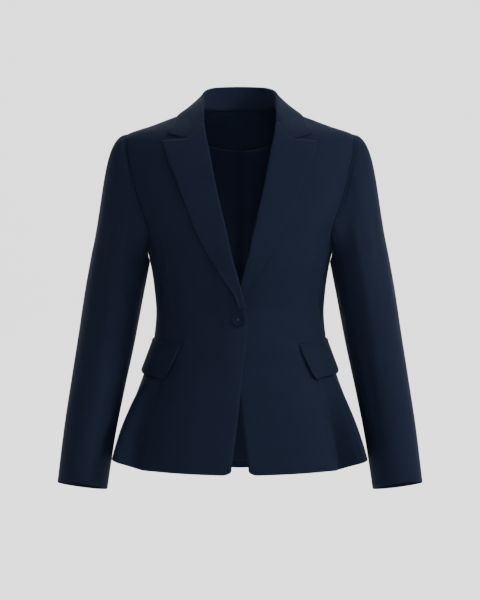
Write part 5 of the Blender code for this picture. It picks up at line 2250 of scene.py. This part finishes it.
@dataclass
class Studio:
    """Camera, pale floor and backdrop, and plain soft light."""

    distance: float = 3.6
    middle: float = -0.33
    frame_height: float = 1.02
    sensor: float = 36.0
    around: float = 0.22
    floor: float = -1.15
    hub: float = 0.05
    round_steps: int = 96
    curve_steps: int = 25
    flat_floor: float = 2.4
    curve: float = 3.6
    wall_top: float = 3.4
    lamps: tuple[Lamp, ...] = (
        Lamp("key", (3.2, -1.35, 1.4), (0.0, 0.0, -0.30), 0.9, 142.0),
        Lamp("front", (0.2, -3.4, 0.9), (0.0, 0.0, -0.15), 1.4, 30.0),
        Lamp("neck", (0.25, -1.1, 0.85), (0.0, 0.03, -0.05), 0.5, 7.0),
        Lamp("back", (-1.6, 3.0, 1.5), (0.0, 0.0, -0.3), 1.4, 26.0),
        Lamp("wall_behind", (0.0, 1.6, 3.2), (0.0, 5.6, -0.4), 2.4, 330.0),
        Lamp("wall_in_front", (0.0, -4.2, 3.4), (0.0, -6.5, 0.0), 2.4, 60.0),
    )

    def camera(self) -> None:
        """Sets the camera level in front, at the photo's frame."""
        data = bpy.data.cameras.new("camera")
        data.sensor_fit = "VERTICAL"
        data.sensor_height = self.sensor
        data.lens = self.sensor * self.distance / self.frame_height
        camera = placed("camera", data)
        camera.location = (0.0, -self.distance, self.middle)
        camera.rotation_euler = (math.pi / 2, 0, 0)
        bpy.context.scene.camera = camera

    def backdrop(self) -> None:
        """Sets a floor that curves up into the backdrop on all sides."""
        turns = np.radians(np.linspace(0, 90, self.curve_steps))
        radii = self.flat_floor + self.curve * np.sin(turns)
        rises = self.floor + self.curve * (1 - np.cos(turns))
        radii = np.concatenate([[self.hub, self.flat_floor / 2], radii, radii[-1:]])
        rises = np.concatenate([[self.floor, self.floor], rises, [self.wall_top]])
        points, faces, count = [], [], self.round_steps
        for radius, rise in zip(radii.tolist(), rises.tolist()):
            for k in range(count):
                turn = 2 * math.pi * k / count
                points.append((radius * math.cos(turn), radius * math.sin(turn), rise))
        for ring in range(len(radii) - 1):
            for k in range(count):
                a, b = ring * count + k, ring * count + (k + 1) % count
                faces.append((a, a + count, b + count, b))
        faces.append(tuple(range(count)))
        mesh = bpy.data.meshes.new("studio_paper")
        mesh.from_pydata(points, [], faces)
        mesh.shade_smooth()
        mesh.materials.append(StudioFinish().build())
        placed("studio_paper", mesh)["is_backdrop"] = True

    def light(self) -> None:
        """Sets the lamps and the even light around."""
        for lamp in self.lamps:
            data = bpy.data.lights.new(lamp.name, "AREA")
            data.size = lamp.size
            data.energy = lamp.power
            made = placed(lamp.name, data)
            made.location = lamp.place
            aim = Vector(lamp.aim) - Vector(lamp.place)
            made.rotation_euler = aim.to_track_quat("-Z", "Y").to_euler()
        world = bpy.data.worlds.new("studio")
        world.use_nodes = True
        background = world.node_tree.nodes["Background"]
        background.inputs["Color"].default_value = (1.0, 1.0, 1.0, 1.0)
        background.inputs["Strength"].default_value = self.around
        bpy.context.scene.world = world

    def build(self) -> None:
        """Sets the whole studio."""
        self.camera()
        self.backdrop()
        self.light()


def main() -> None:
    """Builds the jacket piece by piece and sets it in the studio."""
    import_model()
    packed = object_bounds()
    Studio().build()
    draft = Draft()
    wool, lining = WoolFinish().build(), LiningFinish().build()
    horn, thread = HornFinish().build(), ThreadFinish().build()
    pieces: list[bpy.types.Object] = []
    for side in Side:
        pieces += Panels(draft, side).build(wool)
        pieces.append(Lapel(draft, side).build(wool))
        pieces += Sleeve(draft, side).build(wool)
        pieces += Pocket(draft, side).build(wool)
    pieces.append(Collar(draft).build(wool))
    pieces += Inside(draft).build(wool, lining)
    pieces += Button(draft).build(horn, thread)
    for piece in pieces:
        piece.data.calc_loop_triangles()
        LOG.info("%s: %d triangles", piece.name, len(piece.data.loop_triangles))
    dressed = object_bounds()
    boxes = [[[float(value) for value in corner] for corner in box] for box in (packed, dressed)]


if __name__ == "__main__":
    main()
